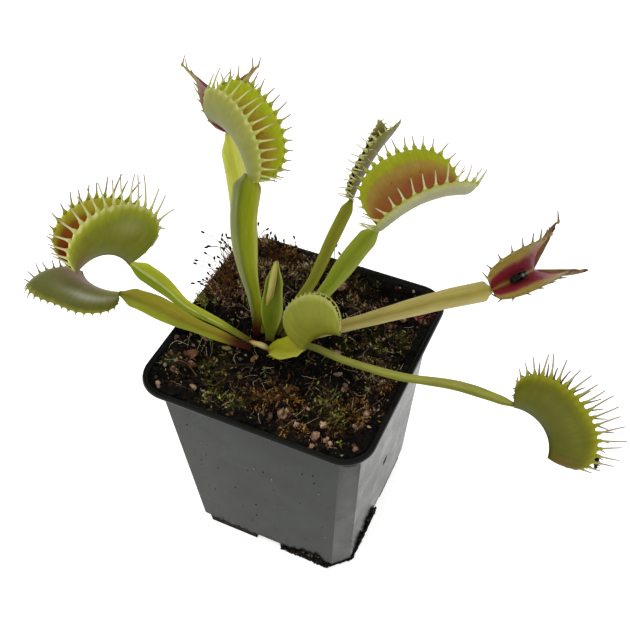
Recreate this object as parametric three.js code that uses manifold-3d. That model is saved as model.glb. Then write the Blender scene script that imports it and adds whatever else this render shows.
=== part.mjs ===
// A Venus flytrap in a square plastic nursery pot, in millimetres, +Z up.
// The origin is the middle of the pot's underside, on the plane that it stands on.
// +X runs to the pot's right-hand wall and -Y to its front wall.

import * as THREE from "three";
import { mergeVertices } from "three/addons/utils/BufferGeometryUtils.js";
import Module from "manifold-3d";

const wasm = await Module();
wasm.setup();

// Driving dimensions of the pot
const RIM_HALF = 45;
const POT_HEIGHT = 95;
const LIP_WIDTH = 1.7;
const LIP_DEPTH = 2.2;
const LIP_RADIUS = 11.5;
const LIP_ROUNDING = 0.3;
const COLLAR_HALF = 42.6;
const COLLAR_DEPTH = 7.5;
const COLLAR_RADIUS = 9.2;
const COLLAR_STEP = { inset: 0.5, radius: 6.7, height: 1.4 };
const WALL_TOP_HALF = 40.3;
const WALL_BOTTOM_HALF = 35.2;
const WALL_CHAMFER = 5.8;
const WALL_CHAMFER_BULGE = 0.05;
const WALL_THICKNESS = 1.1;
const FOOT_HALF = 34.4;
const FOOT_CHAMFER = 7.5;
const FOOT_HEIGHT = 5.5;
const FOOT_FLARE = 0.4;
const FOOT_THICKNESS = 1.6;
const FOOT_INNER_CHAMFER = 6.8;
const FLOOR_UNDERSIDE = 4.0;
const FLOOR_TOP = 5.7;
const PAD_RADIUS = 9;
const PAD_FLARE = 0.6;
const NOTCH = { width: 11.2, depth: 6 };
const DRAIN = { radius: 3.6, offset: 19, sides: 12 };
const SLIT = { length: 4.4, height: 1.4, depth: 5, y: 0.6, z: 36.5 };
const CORNER_STEPS = 4;

// Room left between two pieces, and round a piece that another one fits over
const CLEAR = 0.3;
const ROOM = 0.45;

// Edges shorter than this are left over where solids join, and are closed up
const SLIVER = 0.02;

// Driving dimensions of the soil: slow waves, mounds of moss, pumice grains, a dish round the crown, and a rise
// to the collar at the walls
const SOIL_LEVEL = 87.5;
const SOIL_EDGE = { level: 92, rise: 4.2, sharpness: 5 };
const SOIL_RINGS = 10;
const SOIL_SIDES = 36;
const SOIL_SLOPE = 0.028;
const SOIL_WAVES = [
  { height: 0.6, x: 0.31, y: 0.27, shift: 0.6 },
  { height: 0.35, x: 0.83, y: -0.5, shift: 0 },
  { height: 0.3, x: 0.37, y: 0.71, shift: 1.1 },
];
const MOSS_MOUNDS = [
  { x: -4, y: -27, radius: 7, height: 3.2 },
  { x: 9, y: -30, radius: 6, height: 2.4 },
  { x: 22, y: -28, radius: 7, height: 2.6 },
  { x: 27, y: -14, radius: 6, height: 1.8 },
  { x: -31, y: -24, radius: 7, height: 1.8 },
  { x: -26, y: 27, radius: 12, height: 4.2 },
  { x: -2, y: 33, radius: 8, height: 2.6 },
  { x: 22, y: 26, radius: 9, height: 1.4 },
  { x: -38, y: 6, radius: 7, height: 2.8 },
];
const GRAIN_FLATNESS = [1, 0.85, 0.75];
const GRAINS = [
  { x: 24, y: -37, radius: 1.9 },
  { x: 27.5, y: -36, radius: 1.3 },
  { x: 29.5, y: -37.5, radius: 1.5 },
  { x: 36, y: -20, radius: 1.9 },
  { x: 10, y: -34, radius: 2.2 },
  { x: -33, y: -11, radius: 2.6 },
  { x: -35, y: -31, radius: 1.6 },
  { x: 14, y: 4, radius: 1.7 },
  { x: 2, y: 34, radius: 2.3 },
  { x: 13, y: 19, radius: 2.4 },
  { x: -6, y: 22, radius: 2.6 },
  { x: 31, y: 30, radius: 1.8 },
  { x: 24, y: -12, radius: 1.5 },
  { x: -22, y: 21, radius: 1.8 },
];

// Driving dimensions of the crown, its roots and the ring on it that the leaves start from
const CROWN = { x: -12.5, y: -0.5, top: 87.2, radius: 5.6, height: 19 };
const CROWN_DISH = { radius: 14, depth: 4.6 };
// The crown's outline, as shares of its height below the top and of its radius
const CROWN_PROFILE = [[0.92, 0.45], [0.6, 0.85], [0.25, 1], [0.1, 0.9], [0.02, 0.55]];
const CROWN_SIDES = 16;
const BASE_RING = 6.4;
const BASE_LEVEL = 85.6;
const ROOTS = { count: 6, radius: 0.9, tip: 0.6, floor: 24, start: 2.4, turn: 0.5, steps: 7, sides: 6 };

// Driving dimensions that all stalks and traps share
const WING_THICKNESS = 0.8;
const STALK_RIBS = [[0, 1.1], [0.5, 1.3], [0.93, 1.1], [1, 0.9]];
const STALK_STATIONS = 12;
const LOBE_ROWS = [1, 0.68, 0.3];
const LOBE_THICKNESS = 0.9;
const LOBE_SQUARENESS = 3;
const LEAST_LOBE = 1.4;
const HORN = { share: 0.92, width: 0.07 };
const TRAP_RIB = 1.2;
const TRAP_GROOVE = 0.5;
const POD = { stations: 8, sides: 8 };

// Colours
const COLOURS = {
  pot: 0x35383a,
  soil: 0x2a2019,
  crown: 0xb9a58a,
  leaf: 0x8f9a2e,
  bud: 0xb98a4a,
  prey: 0x15130f,
};

const UP = new THREE.Vector3(0, 0, 1);
const vec = (a) => new THREE.Vector3(...a);
const radians = (a) => (a * Math.PI) / 180;
const mix = (a, b, t) => a + (b - a) * t;

function material(colour, roughness) {
  return new THREE.MeshStandardMaterial({ color: colour, roughness, metalness: 0 });
}

// A value read from [position, value] pairs, easing in and out between them
function eased(table, t) {
  for (let i = 1; i < table.length; i++) {
    const [a, va] = table[i - 1];
    const [b, vb] = table[i];
    if (t <= b) {
      const x = (t - a) / (b - a);
      return mix(va, vb, x * x * (3 - 2 * x));
    }
  }
  return table[table.length - 1][1];
}

// Solids

function geometryOf(points, triangles) {
  const geometry = new THREE.BufferGeometry();
  const numbers = points.flatMap((p) => p.toArray());
  geometry.setAttribute("position", new THREE.Float32BufferAttribute(numbers, 3));
  geometry.setIndex(triangles.flat());
  return geometry;
}

function solidOf(geometry) {
  const bare = geometry.clone();
  bare.deleteAttribute("normal");
  bare.deleteAttribute("uv");
  const merged = mergeVertices(bare, 1e-4);
  const solid = new wasm.Manifold(
    new wasm.Mesh({
      numProp: 3,
      vertProperties: new Float32Array(merged.attributes.position.array),
      triVerts: new Uint32Array(merged.index.array),
    }),
  );
  return solid;
}

function geometryFromSolid(solid) {
  const mesh = solid.getMesh();
  const stride = mesh.numProp;
  const positions = new Float32Array(mesh.numVert * 3);
  for (let i = 0; i < mesh.numVert; i++) {
    positions.set(mesh.vertProperties.subarray(i * stride, i * stride + 3), i * 3);
  }
  const geometry = new THREE.BufferGeometry();
  geometry.setAttribute("position", new THREE.BufferAttribute(positions, 3));
  geometry.setIndex(new THREE.BufferAttribute(new Uint32Array(mesh.triVerts), 1));
  return geometry;
}

function largestBody(solid) {
  return solid.decompose().reduce((a, b) => (b.volume() > a.volume() ? b : a));
}

// A closed body through rings of equal point count, each closed by a fan at both ends.
// Where tipOf gives a point for a quad of the wall, the quad is raised to a spike there.
function loft(rings, tipOf) {
  const points = rings.flat();
  const n = rings[0].length;
  const triangles = [];
  for (let i = 0; i + 1 < rings.length; i++) {
    for (let j = 0; j < n; j++) {
      const k = (j + 1) % n;
      const quad = [i * n + j, i * n + k, (i + 1) * n + k, (i + 1) * n + j];
      const tip = tipOf?.(i, j, middleOf(quad.map((q) => points[q])));
      if (tip) {
        for (let side = 0; side < 4; side++) triangles.push([quad[side], quad[(side + 1) % 4], points.length]);
        points.push(tip);
      } else {
        triangles.push([quad[0], quad[1], quad[2]], [quad[0], quad[2], quad[3]]);
      }
    }
  }
  const last = (rings.length - 1) * n;
  for (let j = 0; j < n; j++) {
    const k = (j + 1) % n;
    triangles.push([k, j, points.length], [last + j, last + k, points.length + 1]);
  }
  points.push(middleOf(rings[0]), middleOf(rings.at(-1)));
  return { points, triangles };
}

function middleOf(points) {
  return points.reduce((sum, p) => sum.add(p), new THREE.Vector3()).divideScalar(points.length);
}

function solidLoft(rings, tipOf) {
  const { points, triangles } = loft(rings, tipOf);
  const solid = solidOf(geometryOf(points, triangles));
  if (solid.volume() >= 0) return solid;
  return solidOf(geometryOf(points, triangles.map(([a, b, c]) => [a, c, b])));
}

// The pot

// A square outline whose corners run from a flat chamfer (bulge 0) to a round arc (bulge 1)
function squareRing(half, cut, bulge, z) {
  const ring = [];
  for (let corner = 0; corner < 4; corner++) {
    const turn = (corner * Math.PI) / 2;
    for (let i = 0; i <= CORNER_STEPS; i++) {
      const t = i / CORNER_STEPS;
      const angle = (t * Math.PI) / 2;
      const round = [half - cut + cut * Math.cos(angle), half - cut + cut * Math.sin(angle)];
      const flat = [half - cut * t, half - cut + cut * t];
      const [x, y] = [mix(flat[0], round[0], bulge), mix(flat[1], round[1], bulge)];
      ring.push(new THREE.Vector3(x, y, z).applyAxisAngle(UP, turn));
    }
  }
  return ring;
}

function wallHalf(z) {
  const wallHeight = POT_HEIGHT - COLLAR_DEPTH - FOOT_HEIGHT;
  return mix(WALL_BOTTOM_HALF, WALL_TOP_HALF, (z - FOOT_HEIGHT) / wallHeight);
}

function wallRing(half, z) {
  return squareRing(half, WALL_CHAMFER, WALL_CHAMFER_BULGE, z);
}

function potRings() {
  const collarBottom = POT_HEIGHT - COLLAR_DEPTH;
  const lipBottom = POT_HEIGHT - LIP_DEPTH;
  const footInner = FOOT_HALF - FOOT_THICKNESS;
  return [
    squareRing(PAD_RADIUS, PAD_RADIUS * 0.99, 1, 0),
    squareRing(PAD_RADIUS + PAD_FLARE, PAD_RADIUS, 1, FLOOR_UNDERSIDE),
    squareRing(footInner, FOOT_INNER_CHAMFER, 0, FLOOR_UNDERSIDE),
    squareRing(footInner, FOOT_INNER_CHAMFER, 0, 0),
    squareRing(FOOT_HALF, FOOT_CHAMFER, WALL_CHAMFER_BULGE, 0),
    squareRing(FOOT_HALF + FOOT_FLARE, FOOT_CHAMFER, WALL_CHAMFER_BULGE, FOOT_HEIGHT - FOOT_FLARE),
    wallRing(WALL_BOTTOM_HALF, FOOT_HEIGHT),
    wallRing(WALL_TOP_HALF, collarBottom),
    squareRing(COLLAR_HALF - COLLAR_STEP.inset, COLLAR_STEP.radius, 1, collarBottom + COLLAR_STEP.height),
    squareRing(COLLAR_HALF, COLLAR_RADIUS, 1, lipBottom - 2 * LIP_ROUNDING),
    squareRing(RIM_HALF - LIP_ROUNDING, LIP_RADIUS, 1, lipBottom),
    squareRing(RIM_HALF, LIP_RADIUS, 1, mix(lipBottom, POT_HEIGHT, 0.4)),
    squareRing(RIM_HALF - LIP_ROUNDING, LIP_RADIUS, 1, POT_HEIGHT),
    squareRing(RIM_HALF - LIP_WIDTH, LIP_RADIUS - LIP_WIDTH, 1, POT_HEIGHT),
    squareRing(COLLAR_HALF - WALL_THICKNESS, COLLAR_RADIUS - WALL_THICKNESS, 1, lipBottom),
    wallRing(WALL_TOP_HALF - WALL_THICKNESS, collarBottom),
    wallRing(wallHalf(FLOOR_TOP) - WALL_THICKNESS, FLOOR_TOP),
  ];
}

function potSolid() {
  const cuts = [];
  for (const [x, y] of [[1, 0], [-1, 0], [0, 1], [0, -1]]) {
    const notch = new THREE.BoxGeometry(
      x ? NOTCH.depth : NOTCH.width,
      y ? NOTCH.depth : NOTCH.width,
      2 * FLOOR_UNDERSIDE,
    );
    notch.translate(x * FOOT_HALF, y * FOOT_HALF, 0);
    const drain = new THREE.CylinderGeometry(DRAIN.radius, DRAIN.radius, 2 * FLOOR_TOP, DRAIN.sides);
    drain.rotateX(Math.PI / 2);
    drain.translate((x - y) * DRAIN.offset, (x + y) * DRAIN.offset, FLOOR_TOP);
    cuts.push(notch, drain);
  }
  const slit = new THREE.BoxGeometry(SLIT.depth, SLIT.length, SLIT.height);
  slit.translate(wallHalf(SLIT.z), SLIT.y, SLIT.z);
  cuts.push(slit);
  return cuts.reduce((pot, cut) => pot.subtract(solidOf(cut)), solidLoft(potRings()));
}

// The soil

function soilHeight(x, y) {
  let z = SOIL_LEVEL - SOIL_SLOPE * (x + y);
  for (const wave of SOIL_WAVES) z += wave.height * Math.sin(wave.x * x + wave.y * y + wave.shift);
  for (const mound of MOSS_MOUNDS) {
    z += mound.height * Math.exp(-((x - mound.x) ** 2 + (y - mound.y) ** 2) / mound.radius ** 2);
  }
  const fromCrown = Math.hypot(x - CROWN.x, y - CROWN.y) / CROWN_DISH.radius;
  const outwards = Math.max(Math.abs(x), Math.abs(y)) / WALL_TOP_HALF;
  return z - CROWN_DISH.depth * Math.exp(-(fromCrown ** 4)) + SOIL_EDGE.rise * outwards ** SOIL_EDGE.sharpness;
}

function soilSolid(hole) {
  const angles = Array.from({ length: SOIL_SIDES }, (_, i) => ((i + 0.5) / SOIL_SIDES) * 2 * Math.PI);
  const outline = (z) => {
    const ring = wallRing(wallHalf(z) - WALL_THICKNESS - ROOM, z);
    return angles.map((angle) => alongOutline(ring, angle));
  };
  // Above the walls the soil widens with the inside of the collar
  const collarBottom = POT_HEIGHT - COLLAR_DEPTH;
  const up = (SOIL_EDGE.level - collarBottom) / (COLLAR_DEPTH - LIP_DEPTH);
  const half = mix(WALL_TOP_HALF, COLLAR_HALF, up) - WALL_THICKNESS - ROOM;
  const corner = mix(WALL_CHAMFER, COLLAR_RADIUS, up);
  const brim = squareRing(half, corner, mix(WALL_CHAMFER_BULGE, 1, up), SOIL_EDGE.level);
  const edge = angles.map((angle) => alongOutline(brim, angle));
  const rings = [outline(FLOOR_TOP + CLEAR), outline(collarBottom), edge];
  for (let k = SOIL_RINGS - 1; k >= 1; k--) {
    rings.push(
      edge.map((p) => {
        const [x, y] = [(p.x * k) / SOIL_RINGS, (p.y * k) / SOIL_RINGS];
        return new THREE.Vector3(x, y, soilHeight(x, y));
      }),
    );
  }
  let soil = solidLoft(rings);
  for (const { x, y, radius } of GRAINS) {
    const grain = new THREE.IcosahedronGeometry(radius, 0);
    grain.scale(...GRAIN_FLATNESS);
    grain.rotateZ(x + y);
    grain.translate(x, y, soilHeight(x, y) + radius / 4);
    soil = soil.add(solidOf(grain));
  }
  return largestBody(soil.subtract(hole));
}

// The point where a ray from the middle at this angle meets a convex outline
function alongOutline(outline, angle) {
  const [dx, dy] = [Math.cos(angle), Math.sin(angle)];
  for (let i = 0; i < outline.length; i++) {
    const a = outline[i];
    const b = outline[(i + 1) % outline.length];
    const [ex, ey] = [b.x - a.x, b.y - a.y];
    const cross = dx * ey - dy * ex;
    if (Math.abs(cross) < 1e-9) continue;
    const t = (a.x * ey - a.y * ex) / cross;
    const u = (a.x * dy - a.y * dx) / cross;
    if (t > 0 && u >= -1e-9 && u <= 1 + 1e-9) return new THREE.Vector3(dx * t, dy * t, a.z);
  }
  throw new Error("the outline has a gap");
}

// The crown with its roots, grown by a margin where it has to leave room

function rootSolid(index, grow) {
  const { x, y, top, height } = CROWN;
  const angle = (index / ROOTS.count) * 2 * Math.PI + ROOTS.turn;
  const reach = 9 + 4 * ((index * 7) % 3);
  const at = (distance, turn, z) =>
    new THREE.Vector3(x + distance * Math.cos(angle + turn), y + distance * Math.sin(angle + turn), z);
  const curve = new THREE.QuadraticBezierCurve3(
    at(ROOTS.start, 0, top - height * 0.8),
    at(reach, 0, top - height * 1.4),
    at(reach * 0.9, ROOTS.turn, ROOTS.floor + 6 * (index % 2) - grow),
  );
  const sideways = new THREE.Vector3(-Math.sin(angle), Math.cos(angle), 0);
  const rings = [];
  for (let i = 0; i <= ROOTS.steps; i++) {
    const t = i / ROOTS.steps;
    const tangent = curve.getTangent(t);
    const u = sideways.clone().addScaledVector(tangent, -sideways.dot(tangent)).normalize();
    const v = new THREE.Vector3().crossVectors(tangent, u);
    rings.push(ellipse(curve.getPoint(t), u, v, mix(ROOTS.radius, ROOTS.tip, t) + grow, 1, ROOTS.sides));
  }
  return solidLoft(rings);
}

function ellipse(centre, u, v, radius, flatten, sides) {
  const ring = [];
  for (let i = 0; i < sides; i++) {
    const angle = (i / sides) * 2 * Math.PI;
    const point = centre.clone().addScaledVector(u, radius * Math.cos(angle));
    ring.push(point.addScaledVector(v, radius * flatten * Math.sin(angle)));
  }
  return ring;
}

function crownSolid(grow) {
  const { x, y, top, radius, height } = CROWN;
  const sides = CROWN_PROFILE.map(([down, out]) => {
    const rise = grow * (1 - 2 * down);
    return new THREE.Vector2(radius * out + grow, top - height * down + rise);
  });
  const profile = [new THREE.Vector2(0, top - height - grow), ...sides, new THREE.Vector2(0, top + grow)];
  const lathe = new THREE.LatheGeometry(profile, CROWN_SIDES);
  lathe.rotateX(Math.PI / 2);
  lathe.translate(x, y, 0);
  let crown = solidOf(lathe);
  for (let i = 0; i < ROOTS.count; i++) crown = crown.add(rootSolid(i, grow));
  return largestBody(crown);
}

// Leaves: each is a winged stalk that ends in a hinged trap

function crownPoint({ base, ring = BASE_RING, level = BASE_LEVEL }) {
  const turn = radians(base);
  return new THREE.Vector3(CROWN.x + ring * Math.cos(turn), CROWN.y + ring * Math.sin(turn), level);
}

function stalkSolid(leaf) {
  const curve = new THREE.CatmullRomCurve3([crownPoint(leaf), ...leaf.path.map(vec)], false, "centripetal");
  const stations = leaf.stations ?? STALK_STATIONS;
  const [upStart, upEnd] = leaf.faces.map(vec);
  const rings = [];
  for (let i = 0; i <= stations; i++) {
    const t = i / stations;
    const centre = curve.getPointAt(t);
    const tangent = curve.getTangentAt(t);
    const up = upStart.clone().lerp(upEnd, t);
    const side = new THREE.Vector3().crossVectors(tangent, up).normalize();
    const face = new THREE.Vector3().crossVectors(side, tangent);
    const half = eased(leaf.widths, t) / 2;
    const lift = Math.tan(radians(eased(leaf.folds, t)));
    const wing = Math.min(WING_THICKNESS, half * 0.9) / 2;
    const rib = eased(leaf.ribs ?? STALK_RIBS, t);
    const at = (across, above) => {
      const raised = Math.abs(across) * half * lift + above;
      return centre.clone().addScaledVector(side, across * half).addScaledVector(face, raised);
    };
    rings.push([
      at(-1, wing),
      at(-0.45, wing),
      at(0, wing * 0.6),
      at(0.45, wing),
      at(1, wing),
      at(1, -wing),
      at(0.45, -wing * 1.2),
      at(0.12, -rib),
      at(-0.12, -rib),
      at(-0.45, -wing * 1.2),
      at(-1, -wing),
    ]);
  }
  return solidLoft(rings);
}

function jointed(leaf) {
  return { ...leaf.trap, joint: leaf.path.at(-1) };
}

// The trap's frame at a share s of its midrib, which is an arc that bends away from the opening
function trapFrame(trap, s) {
  const heading = vec(trap.heading).normalize();
  const opening = vec(trap.opening);
  opening.addScaledVector(heading, -opening.dot(heading)).normalize();
  const across = new THREE.Vector3().crossVectors(heading, opening);
  const bend = radians(trap.bend);
  const angle = bend * s;
  const arc = trap.length / bend;
  const centre = vec(trap.joint)
    .addScaledVector(heading, arc * Math.sin(angle))
    .addScaledVector(opening, -arc * (1 - Math.cos(angle)));
  const out = opening.clone().multiplyScalar(Math.cos(angle)).addScaledVector(heading, Math.sin(angle));
  return { centre, out, across };
}

// A lobe's height is a rounded square's, and on some traps it ends in a horn
function lobeHeight(trap, s) {
  const share = Math.max(0, 1 - Math.abs(2 * s - 1) ** LOBE_SQUARENESS) ** (1 / LOBE_SQUARENESS);
  const horn = (trap.horn ?? 0) * Math.exp(-(((s - HORN.share) / HORN.width) ** 2));
  return Math.max(trap.height * share + horn, LEAST_LOBE);
}

// A point of one lobe, v from 0 at the midrib to 1 at the margin, with its outward normal
function lobePoint(trap, s, v, side) {
  const { centre, out, across } = trapFrame(trap, s);
  const height = lobeHeight(trap, s);
  const [from, to] = trap.spread[side > 0 ? 0 : 1].map(radians);
  const turn = to - from;
  const angle = from + turn * v;
  const x = (Math.cos(from) - Math.cos(angle)) / turn;
  const y = (Math.sin(angle) - Math.sin(from)) / turn;
  return {
    point: centre.clone().addScaledVector(across, side * x * height).addScaledVector(out, y * height),
    along: across.clone().multiplyScalar(side * Math.sin(angle)).addScaledVector(out, Math.cos(angle)),
    normal: across.clone().multiplyScalar(side * Math.cos(angle)).addScaledVector(out, -Math.sin(angle)),
  };
}

// Shares of the midrib that cut the margin into even lengths
function marginShares(trap, count) {
  const fine = 300;
  const shares = [];
  const lengths = [0];
  for (let i = 0; i <= fine; i++) shares.push(0.5 - 0.5 * Math.cos((i / fine) * Math.PI));
  for (let i = 1; i <= fine; i++) {
    const a = lobePoint(trap, shares[i - 1], 1, 1).point;
    const b = lobePoint(trap, shares[i], 1, 1).point;
    lengths.push(lengths[i - 1] + a.distanceTo(b));
  }
  const found = [];
  for (let k = 0, i = 0; k <= count; k++) {
    const target = (lengths[fine] * k) / count;
    while (i < fine - 1 && lengths[i + 1] < target) i++;
    const t = (target - lengths[i]) / (lengths[i + 1] - lengths[i]);
    found.push(mix(shares[i], shares[i + 1], Math.min(1, Math.max(0, t))));
  }
  return found;
}

// The trap's closed outline at a share s of its midrib: the two lobes' outer faces, then their inner faces
function trapRing(trap, s) {
  const { centre, out } = trapFrame(trap, s);
  const height = lobeHeight(trap, s);
  const thick = Math.min(LOBE_THICKNESS, height * 0.3) / 2;
  const face = (side, sign, rows) =>
    rows.map((v) => {
      const { point, normal } = lobePoint(trap, s, v, side);
      return point.addScaledVector(normal, sign * thick);
    });
  const inwards = LOBE_ROWS;
  const outwards = [...LOBE_ROWS].reverse();
  return [
    ...face(1, 1, inwards),
    centre.clone().addScaledVector(out, -Math.min(TRAP_RIB, height * 0.8)),
    ...face(-1, 1, outwards),
    ...face(-1, -1, inwards),
    centre.clone().addScaledVector(out, Math.min(TRAP_GROOVE, height / 4)),
    ...face(1, -1, outwards),
  ];
}

function trapSolid(trap) {
  const columns = 2 * trap.teeth + 1;
  const shares = marginShares(trap, columns);
  const rings = shares.map((s) => trapRing(trap, s));
  // The slots of a ring where a lobe's outer face meets its inner one. The lobes' teeth take turns.
  const margins = new Map([[rings[0].length - 1, 1], [2 * LOBE_ROWS.length, -1]]);
  const toothTip = (i, j, root) => {
    const side = margins.get(j);
    if (!side || i === 0 || i === columns - 1 || i % 2 !== (side > 0 ? 1 : 0)) return null;
    const s = (shares[i] + shares[i + 1]) / 2;
    const { along, normal } = lobePoint(trap, s, 1, side);
    const direction = along.addScaledVector(normal, -(trap.toothLean ?? 0)).normalize();
    return root.addScaledVector(direction, eased(trap.teethLong[side > 0 ? 0 : 1], s));
  };
  return solidLoft(rings, toothTip);
}

// What each leaf's stalk and trap measure, starting with the left-hand pair and running clockwise.
// A path starts at the crown, at the angle "base" round it. Faces are the upper side's directions at both ends.
// Widths, folds (how steeply the wings rise, in degrees) and ribs are [share of the stalk, value] pairs.
// A trap's spread holds, for each lobe, its angle to the opening at the midrib and at the margin.
// Its tooth lengths are [share of the midrib, length] pairs, for one lobe and then the other.

const LEAVES = [
  {
    name: "leaf_left_high",
    base: 193,
    path: [[-31, -3.6, 91.8], [-44.6, -5.3, 97.9], [-52.8, -4.9, 103.6], [-61.7, -11.2, 119]],
    faces: [[0, 0, 1], [0.75, -0.4, 0.5]],
    widths: [[0, 2.6], [0.45, 4.2], [0.78, 7], [0.9, 6.8], [1, 2]],
    folds: [[0, 15], [0.5, 30], [0.9, 38], [1, 10]],
    trap: {
      heading: [-0.233, -0.207, 0.95],
      opening: [0.16, 0.955, 0.248],
      length: 27.9,
      bend: 96,
      height: 22.3,
      spread: [[55, -34], [45, -4]],
      teeth: 15,
      teethLong: [[[0, 5], [0.5, 5], [1, 3]], [[0, 9], [0.3, 9.5], [0.7, 8.5], [1, 6]]],
      toothLean: 0.15,
    },
  },
  {
    name: "leaf_left_low",
    base: 224,
    path: [[-26, -9.9, 93], [-41.5, -12.2, 98], [-55.6, -12.2, 101], [-68.7, -12.8, 102]],
    faces: [[0.1, -0.3, 1], [0, -0.55, 0.85]],
    widths: [[0, 2.6], [0.35, 5], [0.7, 8.6], [0.88, 7.4], [1, 2]],
    folds: [[0, 15], [0.5, 12], [1, 8]],
    trap: {
      heading: [-0.821, -0.528, 0.218],
      opening: [0.566, -0.804, 0.182],
      length: 22.1,
      bend: 87,
      height: 24.5,
      spread: [[42, -54], [47, -27]],
      teeth: 14,
      teethLong: [[[0, 1.2], [0.55, 1.6], [0.8, 5], [1, 6]], [[0, 1.2], [0.55, 1.6], [0.8, 5.5], [1, 6]]],
      toothLean: 0.1,
    },
  },
  {
    name: "leaf_tall",
    base: 162,
    path: [[-18, 2.2, 101], [-22.2, 5.6, 120], [-25.8, 12.2, 136], [-26.5, 19.3, 149]],
    faces: [[0.5, -0.8, 0.2], [0.4, -0.85, 0.3]],
    widths: [[0, 2.6], [0.3, 5], [0.7, 9.5], [0.94, 10], [1, 4]],
    folds: [[0, 15], [0.5, 35], [0.9, 45], [1, 10]],
    trap: {
      heading: [-0.362, 0.474, 0.803],
      opening: [0.903, -0.035, 0.428],
      length: 27.3,
      bend: 68,
      height: 19.9,
      spread: [[35, -22], [69, -11]],
      teeth: 15,
      teethLong: [[[0, 2.5], [0.5, 3.5], [1, 3]], [[0, 6], [0.5, 8], [1, 6]]],
      toothLean: 0.25,
    },
  },
  {
    name: "leaf_tall_behind",
    base: 131,
    path: [[-22.3, 8.1, 98], [-31, 17.1, 113], [-39.6, 28.1, 131], [-46.3, 40, 147]],
    faces: [[0.4, -0.8, 0.4], [0.4, -0.8, 0.4]],
    widths: [[0, 2.6], [0.3, 4], [0.7, 7], [0.9, 6.5], [1, 2]],
    folds: [[0, 15], [0.5, 20], [1, 10]],
    trap: {
      heading: [-0.461, 0.696, 0.55],
      opening: [0.41, -0.383, 0.828],
      length: 22.7,
      bend: 55,
      height: 14,
      horn: 6,
      spread: [[70, 36], [61, 33]],
      teeth: 12,
      teethLong: [[[0, 2], [0.7, 3], [0.92, 8], [1, 8]], [[0, 2], [0.7, 3], [0.92, 8], [1, 8]]],
    },
  },
  {
    name: "leaf_back_narrow",
    base: 86,
    path: [[-9, 11.2, 93], [-5.2, 24, 100.1], [-3.5, 39.8, 110.5], [-1.5, 53.2, 120]],
    faces: [[0.2, -0.6, 0.8], [0.25, -0.75, 0.6]],
    widths: [[0, 2.6], [0.3, 4], [0.75, 5.2], [0.92, 5], [1, 2]],
    folds: [[0, 12], [0.5, 12], [1, 5]],
    trap: {
      heading: [0.1, 0.72, 0.68],
      opening: [-0.04, -0.68, 0.73],
      length: 31,
      bend: 45,
      height: 16,
      spread: [[34, -25], [34, -25]],
      teeth: 15,
      teethLong: [[[0, 4], [0.5, 4.5], [1, 4]], [[0, 4], [0.5, 4.5], [1, 4]]],
      toothLean: 0.2,
    },
  },
  {
    name: "leaf_back_open",
    base: 58,
    path: [[-4.5, 9.3, 93.3], [2.4, 18.6, 102], [9.8, 29, 115], [16.9, 34.8, 127.2]],
    faces: [[0, -0.5, 0.85], [0, -0.7, 0.7]],
    widths: [[0, 2.6], [0.3, 4.5], [0.72, 8], [0.9, 7.6], [1, 2.2]],
    folds: [[0, 12], [0.5, 22], [0.9, 28], [1, 8]],
    trap: {
      heading: [0.402, 0.474, 0.783],
      opening: [-0.643, -0.463, 0.61],
      length: 35.5,
      bend: 76,
      height: 22.5,
      spread: [[82, 13], [88, 49]],
      teeth: 16,
      teethLong: [[[0, 5.5], [0.5, 7], [1, 5.5]], [[0, 2.5], [0.5, 4.5], [1, 4.5]]],
    },
  },
  {
    name: "leaf_right_long",
    base: 30,
    path: [[6.3, 4.2, 96], [28.7, 8.8, 110], [48.2, 14.5, 121], [64.2, 19.9, 128]],
    faces: [[-0.2, -0.3, 1], [-0.2, -0.5, 0.85]],
    widths: [[0, 2.6], [0.25, 5.4], [0.9, 7.4], [1, 3.2]],
    folds: [[0, 12], [0.5, 10], [1, 6]],
    ribs: [[0, 1.2], [0.5, 2.2], [0.9, 2], [1, 1]],
    trap: {
      heading: [0.728, 0.522, 0.445],
      opening: [0.104, -0.726, 0.68],
      length: 22.1,
      bend: 83,
      height: 14.7,
      horn: 6,
      spread: [[58, 16], [59, 16]],
      teeth: 12,
      teethLong: [[[0, 2.5], [0.7, 3.5], [0.92, 8.5], [1, 8.5]], [[0, 2.5], [0.7, 3.5], [0.92, 8], [1, 8]]],
    },
  },
  {
    name: "leaf_front_right",
    base: -5,
    path: [[3, -0.4, 92], [21.5, -5.7, 98], [43.4, -8.5, 103], [64.1, -6.7, 106], [82.9, -6.7, 106]],
    faces: [[0, 0, 1], [0, -0.2, 1]],
    widths: [[0, 2.6], [0.15, 3.2], [0.6, 3.4], [0.85, 4.2], [0.95, 3.4], [1, 1.8]],
    folds: [[0, 12], [1, 12]],
    stations: 14,
    trap: {
      heading: [0.982, 0.022, 0.187],
      opening: [-0.175, 0.473, 0.863],
      length: 24.4,
      bend: 101,
      height: 18.7,
      spread: [[45, -19], [48, -34]],
      teeth: 16,
      teethLong: [
        [[0, 3], [0.3, 8], [0.6, 10], [0.85, 6], [1, 1.5]],
        [[0, 3], [0.3, 7], [0.6, 9], [0.85, 5], [1, 1.5]],
      ],
    },
  },
  {
    name: "leaf_young",
    base: -48,
    path: [[-5.9, -6.8, 91], [0.6, -9.3, 96], [7.2, -9.7, 102]],
    faces: [[0, -0.2, 1], [0, -0.4, 0.9]],
    widths: [[0, 2.6], [0.4, 6.5], [0.65, 8], [0.88, 5], [1, 1.8]],
    folds: [[0, 12], [0.5, 15], [1, 5]],
    stations: 10,
    trap: {
      heading: [0.231, 0.227, 0.946],
      opening: [-0.931, 0.333, 0.147],
      length: 21,
      bend: 66,
      height: 15.6,
      spread: [[41, -35], [41, -35]],
      teeth: 15,
      teethLong: [[[0, 1.1], [1, 1.1]], [[0, 1.1], [1, 1.1]]],
    },
  },
];

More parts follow.
